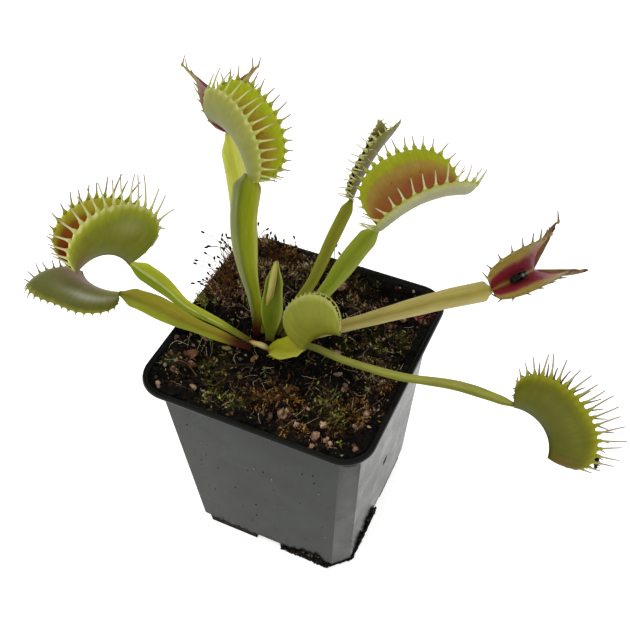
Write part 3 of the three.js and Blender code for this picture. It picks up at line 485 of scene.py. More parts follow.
LEAVES = [
    {
        "name": "leaf_left_high", "base": 193,
        "path": [[-31, -3.6, 91.8], [-44.6, -5.3, 97.9], [-52.8, -4.9, 103.6], [-61.7, -11.2, 119]],
        "faces": [[0, 0, 1], [0.75, -0.4, 0.5]],
        "widths": [[0, 2.6], [0.45, 4.2], [0.78, 7], [0.9, 6.8], [1, 2]],
        "folds": [[0, 15], [0.5, 30], [0.9, 38], [1, 10]],
        "colours": {
            "tooth": "0 b4b858, 0.12 c4c690, 0.6 c0b890, 0.85 a8987c, 1 806850",
            "outer": "0 6a6c30, 0.2 6c6f24, 0.7 767b20, 0.86 8c941e, 0.93 a2a636, 0.965 c4c278, 1 ccc88c",
            "inner": "0 b1391c, 0.45 b45e2a, 0.66 b07c2e, 0.72 ccc83c, 1 f0f860",
            "far_side": 1,
            "stalk": "0 45300d, 0.12 787818, 0.3 909c1c, 1 9ea925",
            # The pale stop at 0 of the stripes is a painted highlight line along the stalk
            "stripes": "-1 7e9115, -0.15 8a9c20, 0 d6da88, 0.12 b1ba30, 1 bfc639",
            "spots": [
                # The second spot here is a painted highlight on the near lobe
                (-1, 1, 0.95, 0.2, 0.16, 0.35, "705030", 0.7), (-1, 1, 0.4, 0.6, 0.16, 0.16, "9a9a60", 0.5),
                (1, -1, 0.95, 0.3, 0.2, 0.5, "80200c", 0.7),
            ],
        },
        "trap": {
            "heading": [-0.233, -0.207, 0.95], "opening": [0.16, 0.955, 0.248], "length": 27.9,
            "bend": 96, "height": 22.3, "spread": [[55, -34], [45, -4]], "teeth": 22,
            "teeth_long": [
                [[0, 1], [0.2, 3], [0.28, 8], [0.42, 8], [0.56, 5], [1, 3]],
                [[0, 9], [0.3, 9.5], [0.7, 8.5], [1, 6]],
            ],
            "tooth_lean": (-0.55, 0.15), "tooth_stem": 0.44,
            "tooth_fan": [[0.2, 1.7], [0.65, 0.8]],
        },
    },
    {
        "name": "leaf_left_low", "base": 224,
        "path": [[-26, -9.9, 93], [-41.5, -12.2, 98], [-55.6, -12.2, 101], [-68.7, -12.8, 102]],
        "faces": [[0.1, -0.3, 1], [0, -0.55, 0.85]],
        "widths": [[0, 2.6], [0.35, 5], [0.7, 8.6], [0.88, 7.4], [1, 2]],
        "folds": [[0, 15], [0.5, 12], [1, 8]],
        "colours": {
            "outer": "0 665f27, 0.3 64612e, 0.7 62632a, 0.9 58591c, 1 8a882e",
            "inner": "0 6a4a2a, 0.5 8c8028, 0.8 a09c34, 1 a8a440",
            "tooth": "0 8a8a34, 0.4 969050, 1 8c7c5c",
            "far_tooth": "0 8a8428, 0.3 a09060, 1 7c6c68",
            "far_side": -1,
            "stalk": "0 2e0c02, 0.12 451806, 0.26 62350a, 0.4 756516, 0.8 87821e, 1 827d2e",
            "stripes": "-1 929a24, -0.3 8b9121, -0.12 60680a, 0 7e7517, 0.5 958b1a, 1 9a962e",
            "spots": [
                (1, 1, 0.8, 0.05, 0.3, 0.28, "7c5450", 0.9), (1, 1, 0.05, 0.2, 0.16, 0.6, "7c7c28", 0.7),
                # The first spot below is a painted highlight streak along the lobe
                (1, 1, 0.3, 0.62, 0.26, 0.09, "a4a690", 0.8), (1, 1, 0.97, 0.9, 0.08, 0.2, "c8bc8c", 0.8),
                (1, 1, 0.55, 0.45, 0.1, 0.2, "4c4c20", 0.5),
            ],
        },
        "trap": {
            "heading": [-0.821, -0.528, 0.218], "opening": [0.566, -0.804, 0.182],
            "length": 22.1, "bend": 87, "height": 24.5, "spread": [[42, -54], [47, -27]],
            "lobe_shares": ([[0, 0.62], [0.45, 0.76], [1, 1.2]], [[0, 0.5], [0.5, 0.6], [1, 1]]),
            "overhang": ((0, -1), (0, 5)), "teeth": 23,
            "teeth_long": [
                [[0, 1], [0.6, 1.2], [0.8, 2], [1, 3.4]], [[0, 1.2], [0.55, 1.6], [0.8, 4], [1, 4]],
            ],
            "tooth_lean": (0.1, 0.1),
        },
    },
    {
        "name": "leaf_tall", "base": 162,
        "path": [[-18, 2.2, 101], [-22.2, 5.6, 120], [-25.8, 12.2, 136], [-26.5, 19.3, 149]],
        "faces": [[0.5, -0.8, 0.2], [0.4, -0.85, 0.3]],
        "widths": [[0, 2.6], [0.3, 5], [0.7, 9.5], [0.94, 10], [1, 4]],
        "folds": [[0, 15], [0.5, 35], [0.9, 45], [1, 10]],
        "colours": {
            "outer": "0 6c6e2c, 0.3 787a3c, 0.72 848640, 0.86 8c8e3c, 0.94 9c9e44, 0.97 bcbc78, 1 c4c488",
            "inner": "0 b19331, 0.4 bfa03e, 0.6 c3b93b, 0.75 bbc821, 1 c3cd35",
            "tooth": "0 a0a83c, 0.1 b8be6c, 0.6 bcbe80, 0.85 aca074, 1 8c744c",
            "far_side": 1,
            "stalk": "0 3c1204, 0.08 4c2408, 0.18 6e681a, 0.6 828a10, 1 8c9222",
            "stripes": (
                "-1 b0b48c, -0.85 8c9460, -0.5 92966a, -0.42 566412, -0.36 7c8a0a, 0.3 848c0a, "
                "0.62 8a9210, 0.72 9c9c40, 1 a2a250"
            ),
            "spots": [
                (-1, 1, 0.5, 0.1, 0.5, 0.1, "5f6420", 0.6), (1, -1, 0.45, 0.2, 0.35, 0.3, "a87434", 0.7),
            ],
        },
        "trap": {
            "heading": [-0.362, 0.474, 0.803], "opening": [0.903, -0.035, 0.428],
            "length": 27.3, "bend": 68, "height": 19.9, "spread": [[35, -22], [69, -11]],
            "teeth": 21,
            "teeth_long": [[[0, 3.5], [0.5, 5], [1, 4]], [[0, 6], [0.5, 8], [1, 6]]],
            "overhang": ((3, 0), (3, 0)), "tooth_lean": (-0.6, 0.25), "tooth_stem": 0.4,
        },
    },
    {
        "name": "leaf_tall_behind", "base": 131,
        "path": [[-22.3, 8.1, 98], [-30, 17.6, 113], [-37.2, 29.4, 131], [-46.3, 40, 147]],
        "faces": [[0.4, -0.8, 0.4], [0.4, -0.8, 0.4]],
        "widths": [[0, 2.6], [0.3, 4.4], [0.7, 8.4], [0.9, 8], [1, 2.4]],
        "folds": [[0, 15], [0.5, 20], [1, 10]],
        "colours": {
            "outer": "0 8c8a46, 0.6 a4a060, 1 b8b070",
            "inner": "0 6a1e2c, 0.5 772b37, 0.8 7f403d, 0.92 8a6e41, 1 917a41",
            "tooth": "0 a09850, 0.3 a48c64, 1 8c6c58",
            "stalk": "0 808028, 0.5 c5c54a, 1 cacc53",
            "stripes": "-1 dee08e, -0.7 c6cb52, 0 b4b836, 0.2 c6c952, 1 d4d77e",
        },
        "trap": {
            "heading": [-0.461, 0.696, 0.55], "opening": [0.41, -0.383, 0.828], "length": 22.7,
            "bend": 55, "height": 14, "spread": [[70, 36], [61, 33]], "horn": 9,
            "last_tooth": 0.95, "teeth": 14,
            "teeth_long": [[[0, 2], [0.7, 3], [0.92, 5], [1, 5]], [[0, 2], [0.7, 3], [0.92, 5], [1, 5]]],
        },
    },
    {
        "name": "leaf_back_narrow", "base": 86,
        "path": [[-9, 11.2, 93], [-5.2, 24, 100.1], [-3.5, 39.8, 110.5], [-1.5, 53.2, 120]],
        "faces": [[0.2, -0.6, 0.8], [0.25, -0.75, 0.6]],
        "widths": [[0, 2.6], [0.3, 4], [0.75, 5.2], [0.92, 5], [1, 2]],
        "folds": [[0, 12], [0.5, 12], [1, 5]],
        "colours": {
            "outer": "0 545414, 0.4 5c5821, 0.85 6a662b, 1 767421",
            "inner": "0 4c4414, 0.4 6c681e, 0.8 8c8828, 1 989440",
            "tooth": "0 a8a850, 0.2 ccc898, 0.7 d0c8a0, 1 b4a47c",
            "spots": [(0, -1, 0.78, 0.3, 0.1, 0.5, "7c5420", 0.8)],
            "stalk": "0 4a3810, 0.12 6c681a, 0.5 7a7a18, 1 84842c",
            "stripes": "-1 949a30, -0.5 82861a, 0.2 787814, 0.6 84841e, 1 989638",
        },
        "trap": {
            "heading": [0.1, 0.72, 0.68], "opening": [-0.04, -0.68, 0.73], "length": 31,
            "bend": 45, "height": 16, "spread": [[30, -22], [30, -22]],
            "overhang": ((0, 3), (0, 2)),
            "lobe_shares": ([[0, 0.72], [0.6, 0.8], [1, 0.8]], [[0, 0.7], [0.6, 0.66], [1, 0.62]]),
            "horn": 3.4, "gape": 42, "teeth": 18,
            "teeth_long": [
                [[0, 4], [0.6, 4.5], [0.72, 1.6], [0.86, 1.4], [1, 1.8]],
                [[0, 3.6], [0.6, 4], [0.72, 1.8], [0.86, 1.5], [1, 1.8]],
            ],
            "tooth_lean": (0.8, 0.9),
        },
    },
    {
        "name": "leaf_back_open", "base": 58,
        "path": [[-4.5, 9.3, 93.3], [2.4, 18.6, 102], [9.8, 29, 115], [16.9, 34.8, 127.2]],
        "faces": [[0, -0.5, 0.85], [0, -0.7, 0.7]],
        "widths": [[0, 2.6], [0.3, 4.5], [0.72, 8], [0.9, 7.6], [1, 2.2]],
        "folds": [[0, 12], [0.5, 22], [0.9, 28], [1, 8]],
        "colours": {
            "outer": "0 84843c, 0.3 8c8c58, 0.75 9c9a70, 0.9 a8a878, 1 a8ac48",
            "inner": (
                "0 80480c, 0.25 844a1a, 0.44 8a5e20, 0.58 92742c, 0.7 967e34, 0.735 94881c, 0.77 949808, "
                "1 98a01a"
            ),
            "tooth": "0 9ca23c, 0.1 c0c488, 0.7 c0bc90, 1 a89c74",
            "far_side": -1,
            "stalk": "0 4a400e, 0.12 6e6c1c, 0.5 7c861c, 1 86902c",
            "stripes": "-1 98a040, -0.4 7e8e14, 0 74820e, 0.3 8c9a34, 0.5 84922c, 1 a0a654",
            "spots": [(-1, -1, 0.62, 0.25, 0.25, 0.22, "863a16", 0.5)],
        },
        "trap": {
            "heading": [0.402, 0.474, 0.783], "opening": [-0.643, -0.463, 0.61], "length": 35.5,
            "bend": 76, "height": 22.5, "spread": [[82, 13], [88, 49]], "teeth": 19,
            "teeth_long": [[[0, 5.5], [0.5, 7], [1, 5.5]], [[0, 2.5], [0.5, 4.5], [1, 4.5]]],
        },
    },
    {
        "name": "leaf_right_long", "base": 30,
        "path": [[6.3, 4.2, 96], [28.7, 8.8, 110], [48.2, 14.5, 121], [64.2, 19.9, 128]],
        "faces": [[-0.2, -0.3, 1], [-0.2, -0.5, 0.85]],
        "widths": [[0, 2.6], [0.25, 5.4], [0.9, 7.6], [0.97, 7.6], [0.992, 3.6], [1, 2.4]],
        "folds": [[0, 12], [0.5, 10], [1, 6]], "ribs": [[0, 1.2], [0.5, 2.2], [0.9, 2], [1, 1]],
        "colours": {
            "outer": "0 8a7a34, 0.5 a08c4c, 0.9 a8985c, 1 988450",
            "inner": (
                "0 8e7c38, 0.08 874b2c, 0.16 771e25, 0.4 832937, 0.47 965743, 0.56 a28f47, 0.9 96883c, "
                "1 877335"
            ),
            "tooth": "0 988444, 0.15 6c5444, 1 4c3c44",
            "stalk": "0 5a2c28, 0.06 6c4c3c, 0.14 8a7648, 0.3 948444, 0.8 9c9048, 1 a0964a",
            "stripes": "-1 b4a468, -0.35 a4964c, -0.08 7c7420, 0.06 94863a, 0.45 a89a58, 1 bcae78",
            "spots": [
                (1, -1, 0.8, 0.45, 0.2, 0.4, "8c2436", 0.9), (-1, -1, 0.8, 0.45, 0.2, 0.4, "8c3040", 0.9),
                (0, 0, 0.92, 1.05, 0.07, 0.5, "4c0c14", 1),
            ],
            "under": "948858",
        },
        "trap": {
            "heading": [0.728, 0.522, 0.445], "opening": [0.104, -0.726, 0.68], "length": 22.1,
            "bend": 83, "height": 14.7, "spread": [[46, 4], [59, 12]], "horn": 9,
            "last_tooth": 0.92, "teeth": 14,
            "teeth_long": [[[0, 3], [0.7, 3.2], [1, 2.6]], [[0, 3.2], [0.7, 3.6], [1, 4]]],
            "tooth_lean": (-0.2, -0.9),
        },
    },
    {
        "name": "leaf_front_right", "base": -5,
        "path": [[3, -0.4, 92], [21.5, -5.7, 98], [43.4, -8.5, 103], [64.1, -6.7, 106], [82.9, -6.7, 106]],
        "faces": [[0, 0, 1], [0, -0.2, 1]],
        "widths": [[0, 2.6], [0.15, 3.2], [0.6, 3.4], [0.85, 4.2], [0.95, 3.4], [1, 1.8]],
        "folds": [[0, 12], [1, 12]],
        "colours": {
            "outer": "0 4f5106, 0.3 525301, 0.72 565802, 0.84 686903, 0.94 80800a, 1 908c20",
            "inner": "0 6a6414, 0.7 8c8c1c, 0.85 a8a434, 1 b4ae44",
            "tooth": "0 8c8c22, 0.12 a09a48, 0.28 a8987c, 0.8 9c8674, 1 8c7464",
            "far_tooth": "0 8c8c22, 0.12 9c9450, 0.28 a08c78, 1 907868",
            "stalk": "0 5c5420, 0.15 707028, 0.5 7c8028, 1 82862c",
            "stripes": "-1 8c8c38, 0 9a9a4c, 0.5 7c8024, 1 6e6c20",
            "spots": [
                (1, 1, 1, 0.45, 0.12, 0.5, "664721", 0.7), (1, 1, 0.5, 0.6, 0.3, 0.18, "6d6c2c", 0.5),
            ],
        },
        "trap": {
            "heading": [0.982, 0.022, 0.187], "opening": [-0.175, 0.473, 0.863], "length": 24.4,
            "bend": 101, "height": 18.7, "spread": [[45, -19], [48, -34]],
            "lobe_shares": ([[0, 1]], [[0, 0.82]]), "teeth": 26,
            "teeth_long": [
                [[0, 3], [0.25, 6.5], [0.6, 8.5], [0.85, 7], [0.95, 3], [1, 1.5]],
                [[0, 4], [0.25, 7.5], [0.6, 9], [0.85, 6], [0.95, 3], [1, 1.5]],
            ],
        },
    },
    {
        "name": "leaf_young", "base": -48,
        "path": [[-7.4, -5.8, 91], [-1, -8, 96.4], [7.2, -9.7, 102]],
        "faces": [[0, -0.2, 1], [0, -0.4, 0.9]],
        "widths": [[0, 3], [0.3, 7.5], [0.6, 10], [0.9, 6.5], [1, 2]],
        "folds": [[0, 12], [0.5, 15], [1, 5]],
        "colours": {
            "outer": "0 7c7c24, 0.3 808028, 0.84 82852c, 0.94 9a9c48, 1 acac60",
            "inner": "0 3c3c10, 0.85 5c5c18, 0.95 a0a24c, 1 acac60",
            "tooth": "0 a4a454, 1 a8a860",
            "stalk": "0 7c711e, 0.1 928f1e, 0.6 96951e, 1 928b40",
            "stripes": "-1 a4a723, 0 949511, 1 adad3c",
        },
        "trap": {
            "heading": [0.231, 0.227, 0.946], "opening": [-0.931, 0.333, 0.147], "length": 21,
            "bend": 66, "height": 15.6, "spread": [[41, -35], [41, -35]], "teeth": 22,
            "teeth_long": [[[0, 0.8], [1, 0.8]], [[0, 0.8], [1, 0.8]]],
        },
    },
]

UNOPENED = {
    "name": "leaf_unopened", "base": 40, "ring": 0.6, "level": 87.7,
    "path": [[-11.9, 1.9, 96], [-12.1, 5.2, 108], [-12.4, 9.6, 120.4]],
    "faces": [[0.3, -0.9, 0.2], [0.3, -0.8, 0.4]],
    "widths": [[0, 3.2], [0.45, 8.2], [0.75, 6.6], [1, 2]],
    "folds": [[0, 15], [0.5, 25], [1, 20]],
    "colours": {
        "stalk": "0 5a4716, 0.1 616816, 0.7 6d7918, 1 959a2d",
        "stripes": "-1 a8b240, -0.8 708016, 0 5d6d11, 0.6 6d7b18, 1 b2b953",
    },
}
FOLDED_TRAP = {
    "path": [[-12.4, 9.4, 120.2], [-12, 6.2, 117], [-11.9, 2.8, 111], [-12.5, 0.6, 106.4]],
    "radii": [[0, 1], [0.35, 1.7], [0.75, 1.6], [1, 0.5]], "flatten": 0.75,
    "colours": "0 a8a050, 0.5 ada558, 1 a0883c",
}
BUD = {
    "path": [[-9.4, -4.6, 88.4], [-12.4, -5.6, 90.6], [-17.4, -6, 91]],
    "radii": [[0, 0.7], [0.4, 1.15], [0.8, 1.05], [1, 0.5]], "flatten": 0.85,
    "colours": "0 8a7438, 0.4 c8b874, 0.8 b89c5c, 1 8c6c38",
}

STALK_STATIONS = 80
STALK_SIDES = 15
# Half thickness of a stalk's wings, the height of their ripples, and the half width of the rib below
WING = 0.3
WING_RIPPLE = 0.35
STALK_RIB_HALF = 0.9
# The groove's depth, as a share of the wing's half thickness, and its half width
STALK_GROOVE = {"depth": 0.45, "half": 0.35}
# How much the stripes cover the stalk's main colour, and the under colour its lower side
STRIPES_SHARE = 0.75
UNDER_SHARE = 0.7
LOBE_ROWS = 16
# Steps along the midrib from which even lengths of the margin are measured
MARGIN_STEPS = 1200
LOBE_HALF_THICKNESS = 0.3
# Columns of points for each half spacing of the teeth
SUBCOLUMNS = 4
# How deep the margin dips between two teeth, as a share of the lobe's height, and how long the teeth are
# where it first dips that far
SCALLOP = 0.06
SCALLOP_TOOTH = 4
VEIN_RELIEF = 0.006
DENT_RELIEF = 0.12
# Noise in the tone of a lobe: size in mm and strength
LOBE_PATCHES = (4.5, 0.13)
LOBE_SPECKLE = (0.9, 0.07)
# How far apart the two lobes lie in the streaks of the material
LOBE_GRAIN = 60
# Share of the midrib at each end where the relief fades out
LOBE_END = 0.06
# Where a tooth is measured: in mm from the margin near its root, and in shares of what is left beyond that
TOOTH_ROOT = np.array([-0.8, -0.3, 0.05, 0.3, 0.6, 1.0, 1.5])
TOOTH_REST = np.array([0.2, 0.45, 0.72, 1])
TOOTH_SIDES = 6
# How far the teeth turn to stand at right angles to the margin, along the midrib
TOOTH_FAN = [[0, 0.8]]
# How much single teeth differ in lean, in slant and in length
TOOTH_VARIETY = {"lean": 0.06, "slant": 0.09, "length": (0.85, 1.1)}
# Half width of a tooth's stem, and the web at its root: its width as a share of the spacing, and its height
TOOTH_STEM = 0.38
NEAR_WEB = {"share": 0.11, "height": 1.2}
FAR_WEB = {"share": 0.16, "height": 1.5}
# Streaks along the fibres: features per mm along and across them
LEAF_GRAIN = (0.16, 1.6, 1.6)
# Darkest and lightest factor of the streaks
LEAF_SWING = (0.72, 0.88)
# The two lobes of a trap, and which of a pair of values is theirs
SIDES = {1: 0, -1: 1}
# Trigger hairs of a lobe: where they stand along and up it, their longest length and their radius
HAIR_SHARES = (0.36, 0.5, 0.64)
HAIR_LEVELS = (0.5, 0.36, 0.5)
HAIR_LENGTH = 2.2
HAIR_RADIUS = 0.11
HAIR_COLOUR = "6a3a22"
# Steps along a folded trap or bud, and points round it
POD_STATIONS = 40
POD_SIDES = 28


def crown_point(leaf):
    turn = math.radians(leaf["base"])
    ring = leaf.get("ring", BASE_RING)
    level = leaf.get("level", BASE_LEVEL)
    return [CROWN["x"] + ring * math.cos(turn), CROWN["y"] + ring * math.sin(turn), level]


def leaf_colours(leaf):
    return {**PALETTE, **leaf.get("colours", {})}


def trap_of(leaf):
    """The values of a leaf's trap, with the place where it joins the stalk."""
    return {**leaf["trap"], "joint": np.array(leaf["path"][-1], float)}


def stalk(piece, leaf, seed):
    """A stalk with two thin wings, a groove along its upper side and a rounded rib below."""
    colours = leaf_colours(leaf)
    t = np.linspace(0, 1, STALK_STATIONS + 1)
    centre, tangent = spline([crown_point(leaf), *leaf["path"]], STALK_STATIONS)
    start, end = (np.array(face, float) for face in leaf["faces"])
    side = unit(np.cross(tangent, mix(start, end, t[:, None])))
    face = np.cross(side, tangent)
    half = eased(leaf["widths"], t)[:, None] / 2
    lift = np.tan(np.radians(eased(leaf["folds"], t)))[:, None]
    rib = eased(leaf.get("ribs", STALK_RIBS), t)[:, None]
    over = np.sin(np.linspace(-1, 1, STALK_SIDES) * math.pi / 2)
    across = np.r_[over, over[::-1]]
    upper = np.r_[np.ones(STALK_SIDES), -np.ones(STALK_SIDES)]
    edge = np.sqrt(1 - 0.96 * np.abs(across) ** 6)
    wing = np.minimum(WING, half * 0.7)
    level = upper * wing * edge
    level = level - (upper < 0) * rib * bell(across * half / np.minimum(STALK_RIB_HALF, half * 0.5))
    groove = bell(across * half / STALK_GROOVE["half"])
    level = level - (upper > 0) * STALK_GROOVE["depth"] * wing * groove
    valley = np.sqrt(across**2 + 0.02) - 0.14
    length = t[:, None] * np.linalg.norm(np.diff(centre, axis=0), axis=1).sum()
    ripple = noise(stacked(length, 40.0 * np.sign(across), 0), 6, seed)
    fringe = np.abs(across) ** 3 * np.minimum(half, 3) / 3 * np.sin(math.pi * t[:, None]) * WING_RIPPLE
    height = valley * half * lift + level + ripple * fringe
    rings = centre[:, None] + side[:, None] * (across * half)[..., None] + face[:, None] * height[..., None]
    grain = stacked(length, across * half + 10 * upper, 0)
    main = shaded(colours["stalk"], t)[:, None]
    young = smooth(0.12, 0.3, t)[:, None, None]
    tint = mix(main, shaded(colours["stripes"], across)[None], STRIPES_SHARE * young)
    below = ((upper < 0) * UNDER_SHARE)[None, :, None] * young
    tint = mix(tint, colour(colours["under"]), below)
    streaks = layered(grain * [0.12, 1.3, 1], 1, seed + 2)[..., None]
    patch = layered(rings, 7, seed + 3)[..., None]
    tint = tint * (1 + 0.1 * patch + 0.12 * streaks)
    piece.add_rings(rings, tint, grain)


def trap_frame(trap, s):
    """The trap's frame at shares s of its midrib, which is an arc that bends away from the opening."""
    heading = unit(trap["heading"])
    opening = np.array(trap["opening"], float)
    opening = unit(opening - opening.dot(heading) * heading)
    bend = math.radians(trap["bend"])
    angle = (bend * np.asarray(s, float))[..., None]
    arc = trap["length"] / bend
    centre = trap["joint"] + heading * arc * np.sin(angle) - opening * arc * (1 - np.cos(angle))
    out = opening * np.cos(angle) + heading * np.sin(angle)
    return centre, out, np.cross(heading, opening)


def lobe_height(trap, s):
    share = np.maximum(0, 1 - np.abs(2 * s - 1) ** LOBE_SQUARENESS) ** (1 / LOBE_SQUARENESS)
    horn = trap.get("horn", 0) * bell((s - HORN["share"]) / HORN["width"])
    return np.maximum(trap["height"] * share + horn, LEAST_LOBE)


def lobe_point(trap, s, v, side):
    """A point of a lobe, v from 0 at the midrib to 1 at the margin, with its up and outward directions."""
    s, v = np.broadcast_arrays(np.asarray(s, float), v)
    centre, out, across = trap_frame(trap, s)
    which = SIDES[side]
    height = lobe_height(trap, s)[..., None] * eased(trap.get("lobe_shares", EVEN_LOBES)[which], s)[..., None]
    start, end = np.radians(trap["spread"][which])
    turn = (end - start + math.radians(trap.get("gape", 0)) * smooth(0.5, 1, s))[..., None]
    angle = start + turn * v[..., None]
    x = (math.cos(start) - np.cos(angle)) / turn
    y = (np.sin(angle) - math.sin(start)) / turn
    # The ends of some lobes reach beyond the midrib's
    near_joint, near_tip = trap.get("overhang", NO_OVERHANG)[which]
    beyond = near_tip * bell((1 - s) / OVERHANG_REACH) - near_joint * bell(s / OVERHANG_REACH)
    point = centre + across * side * x * height + out * y * height
    point = point + np.cross(out, across) * (beyond * v**0.7)[..., None]
    along = across * side * np.sin(angle) + out * np.cos(angle)
    normal = across * side * np.cos(angle) - out * np.sin(angle)
    return point, along, normal


def margin_shares(trap, count):
    """Shares of the midrib that cut the margin into even lengths."""
    shares = 0.5 - 0.5 * np.cos(np.linspace(0, math.pi, MARGIN_STEPS))
    run = run_along(lobe_point(trap, shares, 1, 1)[0])
    return np.interp(np.linspace(0, run[-1], count + 1), run, shares)


def trap_lobes(piece, leaf, trap, seed):
    """Both lobes of a trap in one closed skin: outer faces, rounded margins, and inner faces."""
    colours = leaf_colours(leaf)
    columns = (2 * trap["teeth"] + 1) * SUBCOLUMNS
    s = margin_shares(trap, columns)[:, None]
    column = np.arange(columns + 1)[:, None] / SUBCOLUMNS
    height = lobe_height(trap, s)
    half = np.minimum(LOBE_HALF_THICKNESS, height * 0.15)
    up = np.linspace(1, 0, LOBE_ROWS, endpoint=False) ** 0.9
    reach = np.clip(np.minimum(s, 1 - s) / LOBE_END, 0, 1)

    def face(side, outward, v):
        phase = math.pi * (column - (1.5 if side > 0 else 2.5))
        deep = SCALLOP * np.clip(eased(trap["teeth_long"][SIDES[side]], s) / SCALLOP_TOOTH, 0.25, 1)
        scallop = 1 - deep * reach * (0.5 - 0.5 * np.cos(phase)) ** 0.6 * smooth(0.75, 1, v)
        point, _, normal = lobe_point(trap, s, v * scallop, side)
        body = half * (1.25 - 0.35 * v) * np.where(v > 0.985, 0.55, 1)
        veins = VEIN_RELIEF * reach * np.cos(phase) * smooth(0.1, 0.5, v) * (1 if outward > 0 else 0.6)
        dents = DENT_RELIEF * layered(point, 5, seed + side) * smooth(0, 0.3, v) * reach
        place = point + normal * (outward * body + veins + dents)[..., None]
        grain = stacked(v * height, s * trap["length"] + LOBE_GRAIN * side, outward)
        tint = shaded(colours["outer" if outward > 0 else "inner"], v + 0.03 * noise(place, 2, seed + 9))
        for spot_side, spot_face, spot_s, spot_v, wide, tall, code, strength in colours["spots"]:
            if spot_side in (0, side) and spot_face in (0, outward):
                near = strength * np.exp(-(((s - spot_s) / wide) ** 2) - ((v - spot_v) / tall) ** 2)
                tint = mix(tint, colour(code), near[..., None])
        patch = layered(place, LOBE_PATCHES[0], seed + 7 + side)[..., None]
        speckle = noise(place, LOBE_SPECKLE[0], seed + 11)[..., None] * (1 if outward < 0 else 0.4)
        return place, grain, tint * (1 + LOBE_PATCHES[1] * patch + LOBE_SPECKLE[1] * speckle)

    def middle(offset, ramp):
        centre, out, _ = trap_frame(trap, s)
        place = centre + out * offset[..., None]
        return place, stacked(0, s * trap["length"], 0), np.broadcast_to(shaded(ramp, 0.0), place.shape)

    rib = -np.minimum(TRAP_RIB, height * 0.8)
    groove = np.minimum(TRAP_GROOVE, height / 4)
    parts = [
        face(1, 1, up),
        middle(rib, colours["outer"]),
        face(-1, 1, up[::-1]),
        face(-1, -1, up),
        middle(groove, colours["inner"]),
        face(1, -1, up[::-1]),
    ]
    rings, grain, tint = (np.concatenate([part[k] for part in parts], axis=1) for k in range(3))
    piece.add_rings(rings, tint, grain)


def trap_teeth(piece, leaf, trap, seed):
    """The teeth: slender, a little curved, and webbed at their roots where they grow out of the margin."""
    colours = leaf_colours(leaf)
    rng = np.random.default_rng(seed)
    shares = margin_shares(trap, 2 * trap["teeth"] + 1)
    for side in (1, -1):
        far = side == colours["far_side"]
        first = 1 if side > 0 else 2
        s = np.array([(shares[i] + shares[i + 1]) / 2 for i in range(first, len(shares) - 2, 2)])
        s = s[s < trap.get("last_tooth", 1)]
        count = len(s)
        point, along, normal = lobe_point(trap, s, 1, side)
        margin = unit(lobe_point(trap, s + 0.004, 1, side)[0] - lobe_point(trap, s - 0.004, 1, side)[0])
        lean = trap.get("tooth_lean", (0, 0))[SIDES[side]] + rng.normal(0, TOOTH_VARIETY["lean"], count)
        fan = eased(trap.get("tooth_fan", TOOTH_FAN), s)
        slant = (along * margin).sum(-1) * fan + rng.normal(0, TOOTH_VARIETY["slant"], count)
        direction = unit(along - normal * lean[:, None] - margin * slant[:, None])
        long = eased(trap["teeth_long"][SIDES[side]], s) * rng.uniform(*TOOTH_VARIETY["length"], count)
        long = long[:, None]
        spacing = np.linalg.norm(np.diff(point, axis=0), axis=1).mean()
        root = TOOTH_ROOT * np.minimum(1, long / 3.5)
        reach = np.concatenate([root, root[:, -1:] + (long - root[:, -1:]) * TOOTH_REST], axis=1)
        t = np.maximum(reach, 0) / long
        curl = rng.normal(0.05, 0.06, count)[:, None] * long * t**2
        sway = rng.normal(0, 0.06, count)[:, None] * long * t**2
        paths = (
            point[:, None]
            + direction[:, None] * reach[..., None]
            - normal[:, None] * curl[..., None]
            + margin[:, None] * sway[..., None]
        )
        stem = trap.get("tooth_stem", TOOTH_STEM) * np.minimum(1, 0.55 + long / 10) * (1 - 0.55 * t)
        web = FAR_WEB if far else NEAR_WEB
        rise = web["height"] * np.minimum(1, long / 4)
        flare = web["share"] * spacing * np.clip(1 - np.maximum(reach, 0) / rise, 0, 1) ** 2
        shape = tubes(paths, stem + flare, stem * 0.9 + 0.05 * (1 - t), margin, sides=TOOTH_SIDES)
        share = np.concatenate([np.repeat(t, TOOTH_SIDES, axis=1), t[:, :1], t[:, -1:]], axis=1).ravel()
        tint = shaded(colours["far_tooth" if far else "tooth"], share)
        piece.add(shape, tint * (1 + 0.08 * noise(shape[0], 3, seed))[:, None], shape[0] * 0.3)


def trigger_hairs(piece, trap, seed):
    """Three thin hairs on the inner face of each lobe."""
    rng = np.random.default_rng(seed)
    for side in (1, -1):
        s = np.array(HAIR_SHARES) + rng.normal(0, 0.015, 3)
        point, _, normal = lobe_point(trap, s, np.array(HAIR_LEVELS), side)
        t = np.linspace(0, 1, 5)
        tall = min(HAIR_LENGTH, trap["height"] * 0.12)
        lean = rng.normal(0, 0.12, (3, 3))
        paths = point[:, None] + (lean - normal)[:, None] * (t * tall)[:, None]
        shape = tubes(paths, np.broadcast_to(HAIR_RADIUS * (1 - 0.7 * t), (3, 5)), sides=5)
        piece.add(shape, colour(HAIR_COLOUR))


def pod(piece, shape, seed):
    """A closed, folded trap: a flattened pod with a seam along it."""
    centre, tangent = spline(shape["path"], POD_STATIONS)
    t = np.linspace(0, 1, POD_STATIONS + 1)
    u = unit(np.cross([1, 0.1, 0.05], tangent))
    v = np.cross(tangent, u)
    turn = np.linspace(0, 2 * math.pi, POD_SIDES, endpoint=False)
    seam = 1 - 0.22 * bell((turn - math.pi / 2 - 0.3) / 0.25)
    ring = eased(shape["radii"], t)[:, None] * seam
    rings = (
        centre[:, None]
        + u[:, None] * (ring * np.cos(turn))[..., None]
        + v[:, None] * (ring * np.sin(turn) * shape["flatten"])[..., None]
    )
    # Painted shade: the tint darkens along the seam's groove
    tint = shaded(shape["colours"], t)[:, None] * (0.6 + 0.4 * seam[None, :, None] ** 2)
    tint = tint * (1 + 0.15 * layered(rings, 2.5, seed)[..., None])
    piece.add_rings(rings, tint, stacked(t[:, None] * 12, 0.4 * turn, 0))


